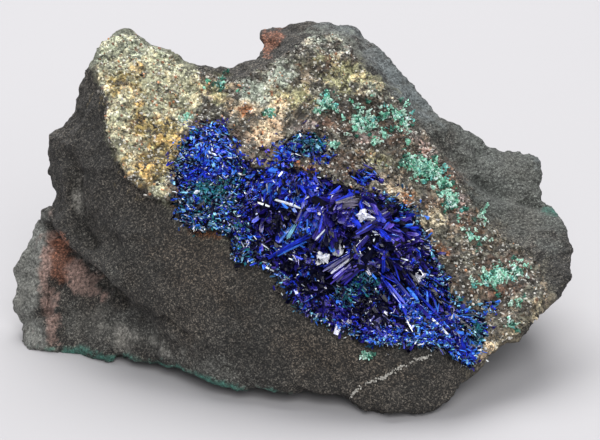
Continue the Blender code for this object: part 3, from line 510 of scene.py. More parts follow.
# Painted shade in the vein's pits and cracks: its noise size, range and share.
PIT_SHADE_SIZE = 1.0
PIT_SHADE_RANGE = (0.52, 0.57)
PIT_SHADE_SHARE = 0.9
RUSTY_CLOUD = 2.4
RUSTY_CLOUD_RANGE = (0.62, 0.7)
RUSTY_CLOUD_SHARE = 0.35
WHITE_SPECK_RANGE = (0.94, 0.95)
WHITE_SPECK_SHARE = 0.6
WARP_SIZE = 1.2
WARP_REACH = 0.9
VEIN_ROUGHNESS = 0.55
VEIN_BUMP = 0.6
COARSE_IN_BUMP = 0.5

# Finishes of small crystals: (name, size and range of their clouding, roughness, size, detail and depth of
# their pits).
GRAIN_FINISH = ("vein_grain", 0.3, (-0.1, 0.7), 0.38, 0.25, 3.0, 0.1)
DRUSE_FINISH = ("green_copper_druse", 0.3, (-0.2, 0.75), 0.45, 0.2, 2.0, 0.05)

# Finishes of linarite, with striae for each millimetre across, through and along a blade, and of cerussite.
STRIAE = (4.5, 4.5, 0.35)
STRIAE_RANGE = (0.3, 0.7)
STRIAE_DEPTH = 0.08
STRIAE_STRENGTH = 0.8
LINARITE_CLOUD = 0.8
LINARITE_CLOUD_RANGE = (0.1, 0.65)
LINARITE_BRIGHTNESS = (1.9, 0.2)
LINARITE_IOR = 1.84
LINARITE_SPECULAR = 0.2
DULL_GLOSS = 0.05
BLADE_GLOSSES = (0.06, 0.1, 0.2, 0.7)
BLADE_SHADES = (0.6, 1.4)
MILK_SIZE = 0.5
MILK_RANGE = (0.35, 0.65)
CERUSSITE_ROUGHNESS = 0.12
CERUSSITE_IOR = 2.0
CERUSSITE_CLEARNESS = 0.25
CERUSSITE_PIT = 0.4
CERUSSITE_BUMP = 0.05

# Where the rim mix holds: to about RIM_DEPTH inside the edge of the field, right of one station or
# below another.
RIM_DEPTH = 0.5
RIM_WAVER = (-0.5, 0.4)
RIM_RIGHT_OF = 12.0
RIM_BELOW = -1.0
RIM_SHARE = 0.7
MIX_WAVER = (-0.8, 0.3)

# How planted shapes lie and vary. Sizes are in millimetres and angles in degrees, and the lengths, widths
# and thicknesses of fan blades are shares of the fan's own length, its width and the blade's width.
ROOT_SUNK = 0.2
NEEDLE_WIDTH = 0.3
NEEDLE_LENGTH = 0.7
FAN_TOWARDS_EYE = 0.6
FAN_SCATTER = 0.9
FAN_SWAY = 6
FAN_LEAN = (8, 48)
FAN_ROLL = 45
FAN_LENGTH = (0.45, 1.1)
FAN_WIDTH = (0.35, 0.95)
FAN_THICKNESS = (0.12, 0.3)
OWN_MIX_SHARE = 0.7
LATH_WIDTH = 0.34
LATH_ROLL = 22
FIELD_ACROSS = (-20.0, 30.0)
FIELD_UP = (-23.0, 15.5)
TRIES_PER_BLADE = 4
STRAY_REACH_ABOVE = 0.55
STRAY_REACH_BELOW = 0.25
COARSE_MIXES = ("gap", "deep", "faces", "royal")
COARSE_FROM = -8.0
COARSE_THINNING = 0.45
COARSE_SPREAD = 35
COARSE_SIZE = (0.45, 1.5)
COARSE_RAISE = 0.1
FINE_SPREAD = 60
FINE_SIZE = (0.3, 0.95)
FINE_RAISE = 0.35
FINE_TOWARDS_EYE = 0.4
FINE_LEAN = (0, 60)
FINE_WIDTH = (0.18, 0.6)
FINE_THICKNESS = (0.15, 0.4)
FINE_ROLL = 0.7
FINE_NEEDLE_WIDTH = 0.5
CLUMP_REACH = 0.55
CLUMP_SCATTER = (0.2, 0.16)
TUFT_SIZE = 9
TUFT_SHADES = (0.4, 1.6)
TUFT_LEAN = (20, 90)
TUFT_WIDTH = (0.5, 1.0)
TUFT_CRYSTAL = (0.2, 0.58)
TUFT_RAISE = (0.1, 0.45)
CHIPS_PER_MM = 14
CHIP_SCATTER = 0.11
CHIP_SIZE = (0.18, 0.42)
GRAIN_SIZES = (0.25, 0.35, 0.35, 0.6)
GRAIN_SUNK = 0.15
TABLETS_PER_GROUP = 9
CERUSSITE_RAISE = 1.2

# A vein grain is white, dark or rusty where its draw falls under these, in this order. Dark ones keep off the
# pale crust, where the stain's green is over PALE_STAIN.
WHITE_UNDER = 0.08
DARK_UNDER = 0.36
RUSTY_UNDER = 0.38
PALE_STAIN = 0.3

# Seeds of the random draws.
VEINLET_SEED = 14
GRAIN_SEED = 21
LINARITE_SEED = 5
DRUSE_SEED = 9
CERUSSITE_SEED = 3

# The stage, in metres.
FLOOR_SIDE = 6.0
KEY_PLACE = (-0.06, 0.40, 0.84)
KEY_SIDE = 0.8
FILL_PLACE = (0.1, -0.8, 0.6)
FILL_SIDE = 0.6
AMBIENT_COLOUR = (0.92, 0.94, 1.0, 1.0)


class BlockSettings(bpy.types.PropertyGroup):
    """Sizes and finish of the dark rock and of the vein crust on it."""
    rock_cell: FloatProperty(
        name="Rock mesh cell",
        description="Edge of one mesh cell on the rock",
        default=0.45 * MM,
        unit="LENGTH",
        precision=6,
    )
    vein_cell: FloatProperty(
        name="Vein mesh cell",
        description="Edge of one mesh cell on the vein",
        default=0.3 * MM,
        unit="LENGTH",
        precision=6,
    )
    roughness: FloatProperty(
        name="Rock roughness", description="How dull the broken rock is", default=0.82, subtype="FACTOR")
    grain: FloatProperty(
        name="Rock grain",
        description="Size of one grain of the rock",
        default=0.16 * MM,
        unit="LENGTH",
        precision=6,
    )
    vein_grains: IntProperty(
        name="Vein grains", description="Number of quartz grains set on the vein", default=8000)


class CrystalSettings(bpy.types.PropertyGroup):
    """How many fine blades the linarite has, how dull it is, and the colour of the cerussite."""
    fine_blades: IntProperty(
        name="Fine blades", description="Small linarite blades between the fans", default=13500)
    linarite_roughness: FloatProperty(
        name="Linarite roughness",
        description="How dull the blade faces are",
        default=0.22,
        subtype="FACTOR",
    )
    cerussite_tint: FloatVectorProperty(
        name="Cerussite colour",
        description="Body colour of the white crystals",
        default=(0.86, 0.86, 0.9),
        subtype="COLOR",
    )


class StageSettings(bpy.types.PropertyGroup):
    """The floor and the light that the specimen is shown in."""
    floor_colour: FloatVectorProperty(
        name="Floor colour",
        description="Colour of the plain floor",
        default=(0.365, 0.357, 0.365),
        subtype="COLOR",
    )
    key_power: FloatProperty(
        name="Key light",
        description="Power of the large light above the back of the block",
        default=14.5,
        unit="POWER",
    )
    fill_power: FloatProperty(
        name="Fill light",
        description="Power of the large light at the front",
        default=10.0,
        unit="POWER",
    )
    ambient: FloatProperty(
        name="Ambient light",
        description="Strength of the even light from all round",
        default=0.5,
        subtype="FACTOR",
    )


def eye_axis():
    """The unit vector from the specimen towards the eye."""
    return Vector((0.0, -math.cos(VIEW_TILT), math.sin(VIEW_TILT)))


def placed(across, up, near):
    """A station as a point of the shared frame, in metres."""
    spread = 1.0 - near / EYE_DISTANCE
    height = up * spread
    y = height * math.sin(VIEW_TILT) - near * math.cos(VIEW_TILT)
    z = height * math.cos(VIEW_TILT) + near * math.sin(VIEW_TILT)
    return AIM + Vector((across * spread, y, z)) * MM


def stations_of(points):
    """Where the eye sees each point of an (n, 3) array: across and up, in millimetres."""
    local = (points - np.array(AIM)) / MM
    near = local[:, 2] * math.sin(VIEW_TILT) - local[:, 1] * math.cos(VIEW_TILT)
    height = local[:, 1] * math.sin(VIEW_TILT) + local[:, 2] * math.cos(VIEW_TILT)
    spread = 1.0 - near / EYE_DISTANCE
    return local[:, 0] / spread, height / spread


def depth_in_region(across, up, region):
    """How far inside a region's edge each station lies, in millimetres, and negative outside it."""
    distance = np.full(len(across), 1e6)
    inside = np.zeros(len(across), bool)
    corners = np.array(region)
    for here, after in zip(corners, np.roll(corners, -1, axis=0)):
        run = after - here
        along = ((across - here[0]) * run[0] + (up - here[1]) * run[1]) / (run @ run)
        along = np.clip(along, 0.0, 1.0)
        gap = np.hypot(across - here[0] - along * run[0], up - here[1] - along * run[1])
        distance = np.minimum(distance, gap)
        if run[1] != 0.0:
            crossing = here[0] + (up - here[1]) / run[1] * run[0]
            inside ^= ((here[1] > up) != (after[1] > up)) & (across < crossing)
    return np.where(inside, distance, -distance)


def depth_in_spot(across, up, spot):
    """How far inside an oval spot each station lies, about, in millimetres, and negative outside it."""
    centre_across, centre_up, half_width, half_height, turn = spot
    angle = math.radians(turn)
    along = (across - centre_across) * math.cos(angle) + (up - centre_up) * math.sin(angle)
    beside = (up - centre_up) * math.cos(angle) - (across - centre_across) * math.sin(angle)
    reach = np.hypot(along / half_width, beside / half_height)
    return (1.0 - reach) * min(half_width, half_height)


def gap_to_run(across, up, run):
    """How far each station lies from a run of stations, in millimetres."""
    distance = np.full(len(across), 1e6)
    for (x0, y0), (x1, y1) in zip(run, run[1:]):
        along = ((across - x0) * (x1 - x0) + (up - y0) * (y1 - y0)) / ((x1 - x0) ** 2 + (y1 - y0) ** 2)
        along = np.clip(along, 0.0, 1.0)
        gap = np.hypot(across - x0 - along * (x1 - x0), up - y0 - along * (y1 - y0))
        distance = np.minimum(distance, gap)
    return distance


def cloud(points, size_mm, octaves):
    """Soft noise between about -1 and 1 at each point, with features of this size."""
    step = 1.0 / (size_mm * MM)
    values = [noise.fractal(Vector(point) * step, 1.0, 2.0, octaves) for point in points]
    return np.clip(np.array(values) * 1.6, -1.0, 1.0)


def painted(points):
    """The colour of the stone's stains and painted light at each point of its front, as an (n, 3) array."""
    across, up = stations_of(points)
    ragged = cloud(points, RAGGED_FEATURE, 3)
    crumbled = cloud(points, CRUMBLED_FEATURE, 2)
    colours = np.tile(np.array(ROCK_DARK), (len(points), 1))
    for tint, strength, raggedness, softness, regions, spots in COATS:
        depth = np.full(len(points), -1e6)
        for region in regions:
            depth = np.maximum(depth, depth_in_region(across, up, region))
        for spot in spots:
            depth = np.maximum(depth, depth_in_spot(across, up, spot))
        depth = depth + raggedness * (RAGGED_SHARE * ragged + CRUMBLED_SHARE * crumbled)
        share = np.clip(depth / softness + 0.5, 0.0, 1.0) * strength
        colours += (np.array(tint) - colours) * share[:, None]
    return colours


def store_colours(mesh, name, colours):
    """Keeps one colour for each vertex in a named attribute, with its fourth value where it has one."""
    attribute = mesh.attributes.new(name, "FLOAT_COLOR", "POINT")
    flat = np.ones((len(colours), 4), np.float32)
    flat[:, :colours.shape[1]] = colours
    attribute.data.foreach_set("color", flat.ravel())


def vertex_arrays(mesh):
    """The vertices and their normals as (n, 3) arrays."""
    points = np.empty(len(mesh.vertices) * 3, np.float32)
    normals = np.empty(len(mesh.vertices) * 3, np.float32)
    mesh.vertices.foreach_get("co", points)
    mesh.vertex_normals.foreach_get("vector", normals)
    return points.reshape(-1, 3).astype(float), normals.reshape(-1, 3).astype(float)


def paint_stone(obj):
    """Paints stains and painted light on whatever faces the front, and leaves plain rock colour behind it."""
    points, normals = vertex_arrays(obj.data)
    facing = np.clip(normals @ np.array(eye_axis()) * FACING_GAIN + FACING_BASE, 0.0, 1.0)
    colours = painted(points)
    plain = np.array(ROCK_DARK)
    store_colours(obj.data, "stain_and_light", plain + (colours - plain) * facing[:, None])


def deselect_all():
    bpy.ops.object.select_all(action="DESELECT")


def make_active(obj):
    deselect_all()
    obj.select_set(True)
    bpy.context.view_layer.objects.active = obj


def copied_nodes(name, node_names):
    """One new object with a merged copy of the meshes of these nodes."""
    merged = bmesh.new()
    for node_name in node_names:
        merged.from_mesh(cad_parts[node_name].data)
    mesh = bpy.data.meshes.new(name)
    merged.to_mesh(mesh)
    merged.free()
    obj = bpy.data.objects.new(name, mesh)
    bpy.context.scene.collection.objects.link(obj)
    make_active(obj)
    bpy.ops.object.mode_set(mode="EDIT")
    bpy.ops.mesh.select_all(action="SELECT")
    bpy.ops.mesh.remove_doubles(threshold=MERGE_DISTANCE * MM)
    bpy.ops.object.mode_set(mode="OBJECT")
    return obj


def apply_modifier(obj, kind, name, **values):
    """Adds one modifier with these values and applies it."""
    make_active(obj)
    modifier = obj.modifiers.new(name, kind)
    for key, value in values.items():
        setattr(modifier, key, value)
    bpy.ops.object.modifier_apply(modifier=name)


def even_out(obj, cell):
    apply_modifier(obj, "REMESH", "even_mesh", mode="VOXEL", voxel_size=cell)


def swell(obj, distance_mm):
    apply_modifier(obj, "DISPLACE", "swell", strength=distance_mm * MM, mid_level=0.0)


def soften(obj, rounds):
    apply_modifier(obj, "SMOOTH", "soften", factor=0.5, iterations=rounds)


def weather(obj, relief):
    """Pushes the surface in and out by each noise of a relief in turn."""
    for name, kind, size_mm, depth_mm, contrast in relief:
        texture = bpy.data.textures.new(name, kind)
        texture.noise_scale = size_mm * MM
        texture.contrast = contrast
        if kind == "CLOUDS":
            texture.noise_depth = 2
        apply_modifier(
            obj, "DISPLACE", name, texture=texture, texture_coords="LOCAL",
            strength=depth_mm * MM, mid_level=0.5)


def crease(obj):
    """Pushes the front of the rock in or out along its creases."""
    points, normals = vertex_arrays(obj.data)
    across, up = stations_of(points)
    facing = normals @ np.array(eye_axis()) > 0.0
    for number, (depth, half_width, run) in enumerate(CREASES):
        group = obj.vertex_groups.new(name=f"crease_{number}")
        share = np.exp(-(gap_to_run(across, up, run) / half_width) ** 2) * facing
        for index in np.nonzero(share > 0.02)[0]:
            group.add([int(index)], float(share[index]), "REPLACE")
        apply_modifier(
            obj, "DISPLACE", group.name, vertex_group=group.name, strength=-depth * MM, mid_level=0.0)
    obj.vertex_groups.clear()


def mount_piece(obj, slot, *nodes):
    """Rides on the block and stands for these nodes, which it hides; the slot is not used."""
    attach(obj, "root")
    if nodes:
        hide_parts(*nodes)


# Node wiring for the finishes.
def new_finish(name):
    """A material with its shader, and the block's own coordinates in millimetres."""
    material = bpy.data.materials.new(name)
    material.use_nodes = True
    tree = material.node_tree
    shader = tree.nodes["Principled BSDF"]
    coordinates = tree.nodes.new("ShaderNodeTexCoord")
    mapping = tree.nodes.new("ShaderNodeMapping")
    mapping.inputs["Scale"].default_value = (1000.0, 1000.0, 1000.0)
    tree.links.new(coordinates.outputs["Object"], mapping.inputs["Vector"])
    return material, tree, shader, mapping.outputs["Vector"]


def feed(tree, source, target):
    """Links an output to an input, or sets the input to a plain value."""
    if hasattr(source, "links"):
        tree.links.new(source, target)
    else:
        target.default_value = source


def calc(tree, operation, first, second=0.0):
    step = tree.nodes.new("ShaderNodeMath")
    step.operation = operation
    feed(tree, first, step.inputs[0])
    feed(tree, second, step.inputs[1])
    return step.outputs[0]


def add_scaled(tree, value, factor, base):
    """The value times a factor, on top of a base."""
    return calc(tree, "ADD", calc(tree, "MULTIPLY", value, factor), base)


def noise_at(tree, vector, size_mm, detail=2.0):
    texture = tree.nodes.new("ShaderNodeTexNoise")
    texture.inputs["Scale"].default_value = 1.0 / size_mm
    texture.inputs["Detail"].default_value = detail
    tree.links.new(vector, texture.inputs["Vector"])
    return texture.outputs["Fac"]


def cell_at(tree, vector, size_mm):
    """A random value for each grain of this size."""
    texture = tree.nodes.new("ShaderNodeTexVoronoi")
    texture.inputs["Scale"].default_value = 1.0 / size_mm
    tree.links.new(vector, texture.inputs["Vector"])
    split = tree.nodes.new("ShaderNodeSeparateColor")
    tree.links.new(texture.outputs["Color"], split.inputs["Color"])
    return split.outputs[0]


def warped(tree, vector, size_mm, reach_mm):
    """The same places pushed about by a soft noise, so that grains lose their straight edges."""
    texture = tree.nodes.new("ShaderNodeTexNoise")
    texture.inputs["Scale"].default_value = 1.0 / size_mm
    tree.links.new(vector, texture.inputs["Vector"])
    push = tree.nodes.new("ShaderNodeVectorMath")
    push.operation = "MULTIPLY_ADD"
    push.inputs[1].default_value = (reach_mm, reach_mm, reach_mm)
    tree.links.new(texture.outputs["Color"], push.inputs[0])
    tree.links.new(vector, push.inputs[2])
    return push.outputs["Vector"]


def threshold(tree, value, start, end):
    """0 below start and 1 above end, with a straight ramp between."""
    step = tree.nodes.new("ShaderNodeMapRange")
    step.inputs["From Min"].default_value = start
    step.inputs["From Max"].default_value = end
    tree.links.new(value, step.inputs["Value"])
    return step.outputs["Result"]


def mixed(tree, share, first, second):
    """Lays a share of the second colour over the first, by the node's colour sockets 6, 7 and 2."""
    step = tree.nodes.new("ShaderNodeMix")
    step.data_type = "RGBA"
    feed(tree, share, step.inputs["Factor"])
    for source, target in ((first, step.inputs[6]), (second, step.inputs[7])):
        if hasattr(source, "links"):
            tree.links.new(source, target)
        else:
            target.default_value = (*source, 1.0)
    return step.outputs[2]


def scaled(tree, colour, factor):
    """A colour made brighter or darker by a factor."""
    step = tree.nodes.new("ShaderNodeVectorMath")
    step.operation = "SCALE"
    tree.links.new(colour, step.inputs[0])
    feed(tree, factor, step.inputs["Scale"])
    return step.outputs[0]


def tinted(tree, colour, factors):
    """A colour with each of its three parts made stronger or weaker."""
    step = tree.nodes.new("ShaderNodeVectorMath")
    step.operation = "MULTIPLY"
    step.inputs[1].default_value = factors
    tree.links.new(colour, step.inputs[0])
    return step.outputs[0]


def attribute_output(tree, name, output):
    attribute = tree.nodes.new("ShaderNodeAttribute")
    attribute.attribute_name = name
    return attribute.outputs[output]


def attribute_colour(tree, name):
    return attribute_output(tree, name, "Color")


def bumped(tree, shader, height, depth_mm, strength=1.0):
    bump = tree.nodes.new("ShaderNodeBump")
    bump.inputs["Strength"].default_value = strength
    bump.inputs["Distance"].default_value = depth_mm * MM
    tree.links.new(height, bump.inputs["Height"])
    tree.links.new(bump.outputs["Normal"], shader.inputs["Normal"])


def host_rock_finish(settings):
    """Fine-grained dark stone: salt-and-pepper grains, soft blotches and rough broken faces."""
    material, tree, shader, vector = new_finish("broken_host_rock")
    grain_mm = settings.grain / MM
    stain_and_light = attribute_colour(tree, "stain_and_light")
    grain = cell_at(tree, vector, grain_mm)
    sharp = add_scaled(tree, calc(tree, "POWER", grain, DARK_ROCK_CURVE), *DARK_ROCK_BRIGHTNESS)
    smooth = add_scaled(tree, grain, *PALE_ROCK_BRIGHTNESS)
    channels = tree.nodes.new("ShaderNodeSeparateColor")
    tree.links.new(stain_and_light, channels.inputs["Color"])
    paleness = threshold(tree, channels.outputs["Green"], *PALE_ROCK_RANGE)
    factor = add_scaled(tree, calc(tree, "SUBTRACT", smooth, sharp), paleness, sharp)
    blotch = noise_at(tree, vector, BLOTCH, 6.0)
    factor = calc(tree, "MULTIPLY", factor, threshold(tree, blotch, *BLOTCH_RANGE))
    speckle = noise_at(tree, vector, SPECKLE, 3.0)
    factor = calc(tree, "MULTIPLY", factor, threshold(tree, speckle, *SPECKLE_RANGE))
    drift = threshold(tree, noise_at(tree, vector, DRIFT, 3.0), *DRIFT_RANGE)
    colour = mixed(tree, calc(tree, "MULTIPLY", drift, DRIFT_SHARE), stain_and_light, DRIFT_BROWN)
    feed(tree, scaled(tree, colour, factor), shader.inputs["Base Color"])
    shader.inputs["Roughness"].default_value = settings.roughness
    raised = calc(tree, "MULTIPLY", grain, GRAIN_IN_BUMP)
    rough = calc(tree, "ADD", noise_at(tree, vector, ROCK_PIT, 5.0), raised)
    bumped(tree, shader, rough, ROCK_BUMP)
    return material


def vein_finish():
    """Vein quartz: lumps of pale, pinkish and brown grains, rusty and white specks, painted shade in pits."""
    material, tree, shader, vector = new_finish("vein_quartz_stone")
    stain_and_light = attribute_colour(tree, "stain_and_light")
    channels = tree.nodes.new("ShaderNodeSeparateColor")
    tree.links.new(stain_and_light, channels.inputs["Color"])
    darkness = threshold(tree, channels.outputs["Green"], *DARK_VEIN_RANGE)
    boldness = add_scaled(tree, darkness, *BOLDNESS)
    bent = warped(tree, vector, WARP_SIZE, WARP_REACH)
    coarse = cell_at(tree, bent, QUARTZ_GRAIN)
    fine = cell_at(tree, vector, QUARTZ_CRUMB)
    lumps = cell_at(tree, bent, QUARTZ_LUMP)
    pale = tinted(tree, stain_and_light, PALE_LUMP_GAIN)
    pale_share = calc(tree, "MULTIPLY", threshold(tree, lumps, *PALE_LUMP_RANGE), boldness)
    colour = mixed(tree, pale_share, stain_and_light, pale)
    brown = calc(tree, "SUBTRACT", 1.0, threshold(tree, lumps, *BROWN_LUMP_RANGE))
    brown_share = calc(tree, "MULTIPLY", brown, calc(tree, "MULTIPLY", boldness, BROWN_LUMP_SHARE))
    colour = mixed(tree, brown_share, colour, LUMP_BROWN)
    factor = add_scaled(tree, calc(tree, "POWER", coarse, QUARTZ_CURVE), *QUARTZ_BRIGHTNESS)
    crumbs = calc(tree, "MULTIPLY", calc(tree, "POWER", fine, CRUMB_CURVE), CRUMB_BRIGHTNESS)
    factor = calc(tree, "ADD", factor, crumbs)
    colour = scaled(tree, colour, factor)
    colour = tinted(tree, colour, VEIN_TONE)
    # Painted shade: near-black laid into the pits and cracks between the grains.
    dark = threshold(tree, noise_at(tree, bent, PIT_SHADE_SIZE, 5.0), *PIT_SHADE_RANGE)
    pit_shade_share = calc(tree, "MULTIPLY", dark, calc(tree, "MULTIPLY", boldness, PIT_SHADE_SHARE))
    colour = mixed(tree, pit_shade_share, colour, PIT_SHADE_COLOUR)
    rusty = threshold(tree, noise_at(tree, vector, RUSTY_CLOUD, 4.0), *RUSTY_CLOUD_RANGE)
    colour = mixed(tree, calc(tree, "MULTIPLY", rusty, RUSTY_CLOUD_SHARE), colour, CLOUD_RUST)
    white = threshold(tree, fine, *WHITE_SPECK_RANGE)
    colour = mixed(tree, calc(tree, "MULTIPLY", white, WHITE_SPECK_SHARE), colour, SPECK_WHITE)
    feed(tree, colour, shader.inputs["Base Color"])
    shader.inputs["Roughness"].default_value = VEIN_ROUGHNESS
    raised = calc(tree, "MULTIPLY", coarse, COARSE_IN_BUMP)
    height = calc(tree, "ADD", noise_at(tree, vector, QUARTZ_GRAIN, 5.0), raised)
    bumped(tree, shader, height, VEIN_BUMP)
    return material


def small_crystal_finish(name, cloud_mm, cloud_range, roughness, pit_mm, pit_detail, pit_depth_mm):
    """Small crystals and grains, clouded and finely pitted, each with a colour of its own."""
    material, tree, shader, vector = new_finish(name)
    tint = attribute_colour(tree, "tint")
    factor = threshold(tree, noise_at(tree, vector, cloud_mm, 3.0), *cloud_range)
    feed(tree, scaled(tree, tint, factor), shader.inputs["Base Color"])
    shader.inputs["Roughness"].default_value = roughness
    bumped(tree, shader, noise_at(tree, vector, pit_mm, pit_detail), pit_depth_mm)
    return material


def linarite_finish(settings):
    """Glassy blades, finely striated along their length."""
    material, tree, shader, vector = new_finish("linarite_glassy_blue")
    tint = attribute_colour(tree, "tint")
    stretch = tree.nodes.new("ShaderNodeMapping")
    stretch.inputs["Scale"].default_value = STRIAE
    tree.links.new(attribute_output(tree, "lay", "Vector"), stretch.inputs["Vector"])
    striae = noise_at(tree, stretch.outputs["Vector"], 1.0, 2.0)
    streaks = threshold(tree, striae, *STRIAE_RANGE)
    cloudy = threshold(tree, noise_at(tree, vector, LINARITE_CLOUD, 3.0), *LINARITE_CLOUD_RANGE)
    factor = add_scaled(tree, calc(tree, "MULTIPLY", streaks, cloudy), *LINARITE_BRIGHTNESS)
    feed(tree, scaled(tree, tint, factor), shader.inputs["Base Color"])
    shader.inputs["Roughness"].default_value = settings.linarite_roughness
    shader.inputs["IOR"].default_value = LINARITE_IOR
    shader.inputs["Specular IOR Level"].default_value = LINARITE_SPECULAR
    feed(tree, attribute_output(tree, "tint", "Alpha"), shader.inputs["Specular IOR Level"])
    bumped(tree, shader, striae, STRIAE_DEPTH, STRIAE_STRENGTH)
    return material


def cerussite_finish(settings):
    """Clear to milky white crystal."""
    material, tree, shader, vector = new_finish("cerussite_white")
    milk = threshold(tree, noise_at(tree, vector, MILK_SIZE, 3.0), *MILK_RANGE)
    colour = mixed(tree, milk, tuple(settings.cerussite_tint), CERUSSITE_MILK)
    feed(tree, colour, shader.inputs["Base Color"])
    shader.inputs["Roughness"].default_value = CERUSSITE_ROUGHNESS
    shader.inputs["IOR"].default_value = CERUSSITE_IOR
    shader.inputs["Transmission Weight"].default_value = CERUSSITE_CLEARNESS
    bumped(tree, shader, noise_at(tree, vector, CERUSSITE_PIT, 2.0), CERUSSITE_BUMP)
    return material


# Small shapes that are modelled once and repeated.
def choose_faces(obj, direction):
    """Selects, in edit mode, the faces whose normal points along a direction."""
    editing = bmesh.from_edit_mesh(obj.data)
    aim = Vector(direction)
    for face in editing.faces:
        face.select_set(face.normal.dot(aim) > 0.9)
    bmesh.update_edit_mesh(obj.data)


def model_blade(name, shoulder, tip_width, tip_shift):
    """A tablet one unit long, wide and thick, standing on its root, with a chisel-shaped end."""
    deselect_all()
    bpy.ops.mesh.primitive_cube_add(size=1.0)
    blade = bpy.context.object
    blade.name = name
    bpy.ops.object.mode_set(mode="EDIT")
    bpy.ops.transform.resize(value=(1.0, 1.0, shoulder))
    bpy.ops.transform.translate(value=(0.0, 0.0, shoulder / 2))
    bpy.ops.mesh.select_mode(type="FACE")
    choose_faces(blade, (0, 0, 1))
    bpy.ops.mesh.extrude_region_move(TRANSFORM_OT_translate={"value": (tip_shift, 0.0, 1.0 - shoulder)})
    bpy.ops.transform.resize(value=(tip_width, 0.12, 1.0))
    choose_faces(blade, (0, 0, -1))
    bpy.ops.transform.resize(value=(0.65, 0.7, 1.0))
    bpy.ops.object.mode_set(mode="OBJECT")
    return blade


def model_sliver(name, tip_width, tip_shift):
    """A thin tapering plate of six faces, one unit long, wide and thick, standing on its root."""
    deselect_all()
    bpy.ops.mesh.primitive_cube_add(size=1.0)
    sliver = bpy.context.object
    sliver.name = name
    bpy.ops.object.mode_set(mode="EDIT")
    bpy.ops.transform.translate(value=(0.0, 0.0, 0.5))
    bpy.ops.mesh.select_mode(type="FACE")
    choose_faces(sliver, (0, 0, 1))
    bpy.ops.transform.resize(value=(tip_width, 0.5, 1.0))
    bpy.ops.transform.translate(value=(tip_shift, 0.0, 0.0))
    bpy.ops.object.mode_set(mode="OBJECT")
    return sliver


def model_grain(name, squash, turn):
    """A chipped grain of twenty flat faces."""
    deselect_all()
    bpy.ops.mesh.primitive_ico_sphere_add(subdivisions=1, radius=0.5)
    grain = bpy.context.object
    grain.name = name
    bpy.ops.object.mode_set(mode="EDIT")
    bpy.ops.transform.resize(value=squash)
    bpy.ops.transform.rotate(value=math.radians(turn), orient_axis="X", center_override=(0.0, 0.0, 0.0))
    bpy.ops.object.mode_set(mode="OBJECT")
    return grain


def model_spike(name, sides, tip):
    """A stout crystal with a blunt end, one unit long, standing on its root."""
    deselect_all()
    bpy.ops.mesh.primitive_cone_add(vertices=sides, radius1=0.5, radius2=tip, depth=1.0)
    spike = bpy.context.object
    spike.name = name
    bpy.ops.object.mode_set(mode="EDIT")
    bpy.ops.transform.translate(value=(0.0, 0.0, 0.5))
    bpy.ops.object.mode_set(mode="OBJECT")
    return spike


class Planting:
    """Where the copies of one small shape stand: root, three axes in metres, and a tint."""

    def __init__(self):
        self.roots = []
        self.axes = []
        self.tints = []

    def add(self, root, along, face, length, width, thickness, tint):
        side = along.cross(face).normalized()
        front = side.cross(along).normalized()
        self.roots.append(root)
        self.axes.append((side * width, front * thickness, along * length))
        self.tints.append(tint)


def planted_mesh(name, plantings, lay_sizes=False):
    """One mesh with every copy of every small shape, each copy with its own tint."""
    vertices, polygons, tints, lays = [], [], [], []
    first = 0
    for shape, planting in plantings:
        count = len(planting.roots)
        if not count:
            continue
        base = np.array([vertex.co for vertex in shape.data.vertices])
        axes = np.array([[tuple(axis) for axis in triple] for triple in planting.axes])
        roots = np.array([tuple(root) for root in planting.roots])
        spots = roots[:, None, :] + np.einsum("vk,nkc->nvc", base, axes)
        vertices.append(spots.reshape(-1, 3))
        tints.append(np.repeat(np.array(planting.tints), len(base), axis=0))
        sizes = np.linalg.norm(axes, axis=2) / MM
        own_lay = base[None, :, :] * sizes[:, None, :] + (np.arange(count) * 7.31 % 50.0)[:, None, None]
        lays.append(own_lay.reshape(-1, 3))
        faces = [tuple(face.vertices) for face in shape.data.polygons]
        for copy in range(count):
            start = first + copy * len(base)
            polygons.extend(tuple(corner + start for corner in face) for face in faces)
        first += count * len(base)
    mesh = bpy.data.meshes.new(name)
    mesh.from_pydata(np.concatenate(vertices), [], polygons)
    store_colours(mesh, "tint", np.concatenate(tints))
    if lay_sizes:
        lay = mesh.attributes.new("lay", "FLOAT_VECTOR", "POINT")
        lay.data.foreach_set("vector", np.concatenate(lays).astype(np.float32).ravel())
    obj = bpy.data.objects.new(name, mesh)
    bpy.context.scene.collection.objects.link(obj)
    return obj


def plant_piece(name, plantings, finish, slot, nodes=(), lay_sizes=False):
    """Makes one piece of all that is planted, and clears the small shapes away."""
    piece = planted_mesh(name, plantings, lay_sizes)
    piece.data.materials.append(finish)
    mount_piece(piece, slot, *nodes)
    for shape, _ in plantings:
        bpy.data.objects.remove(shape)


def surface_of(node_names):
    """The surface that small crystals stand on, for sight lines."""
    merged = bmesh.new()
    for node_name in node_names:
        merged.from_mesh(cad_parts[node_name].data)
    surface = BVHTree.FromBMesh(merged)
    merged.free()
    return surface


def sight_line(surface, across, up):
    """Where the line of sight through a station meets the surface, and the normal there, or None twice."""
    eye = AIM + eye_axis() * EYE_DISTANCE * MM
    towards = (placed(across, up, 0.0) - eye).normalized()
    point, normal, _, _ = surface.ray_cast(eye, towards)
    if point is not None and normal.dot(towards) > 0:
        normal = -normal
    return point, normal


def heading_vector(degrees):
    """A direction on the drawing plane: 0 is to the right and 90 is up."""
    turn = math.radians(degrees)
    upward = Vector((0.0, math.sin(VIEW_TILT), math.cos(VIEW_TILT)))
    return Vector((1.0, 0.0, 0.0)) * math.cos(turn) + upward * math.sin(turn)


def leaning(normal, heading, lean):
    """A unit vector that starts along a heading laid on the surface and is raised off it by lean degrees."""
    flat = heading_vector(heading)
    flat = (flat - normal * flat.dot(normal)).normalized()
    raised = math.radians(lean)
    return (flat * math.cos(raised) + normal * math.sin(raised)).normalized()


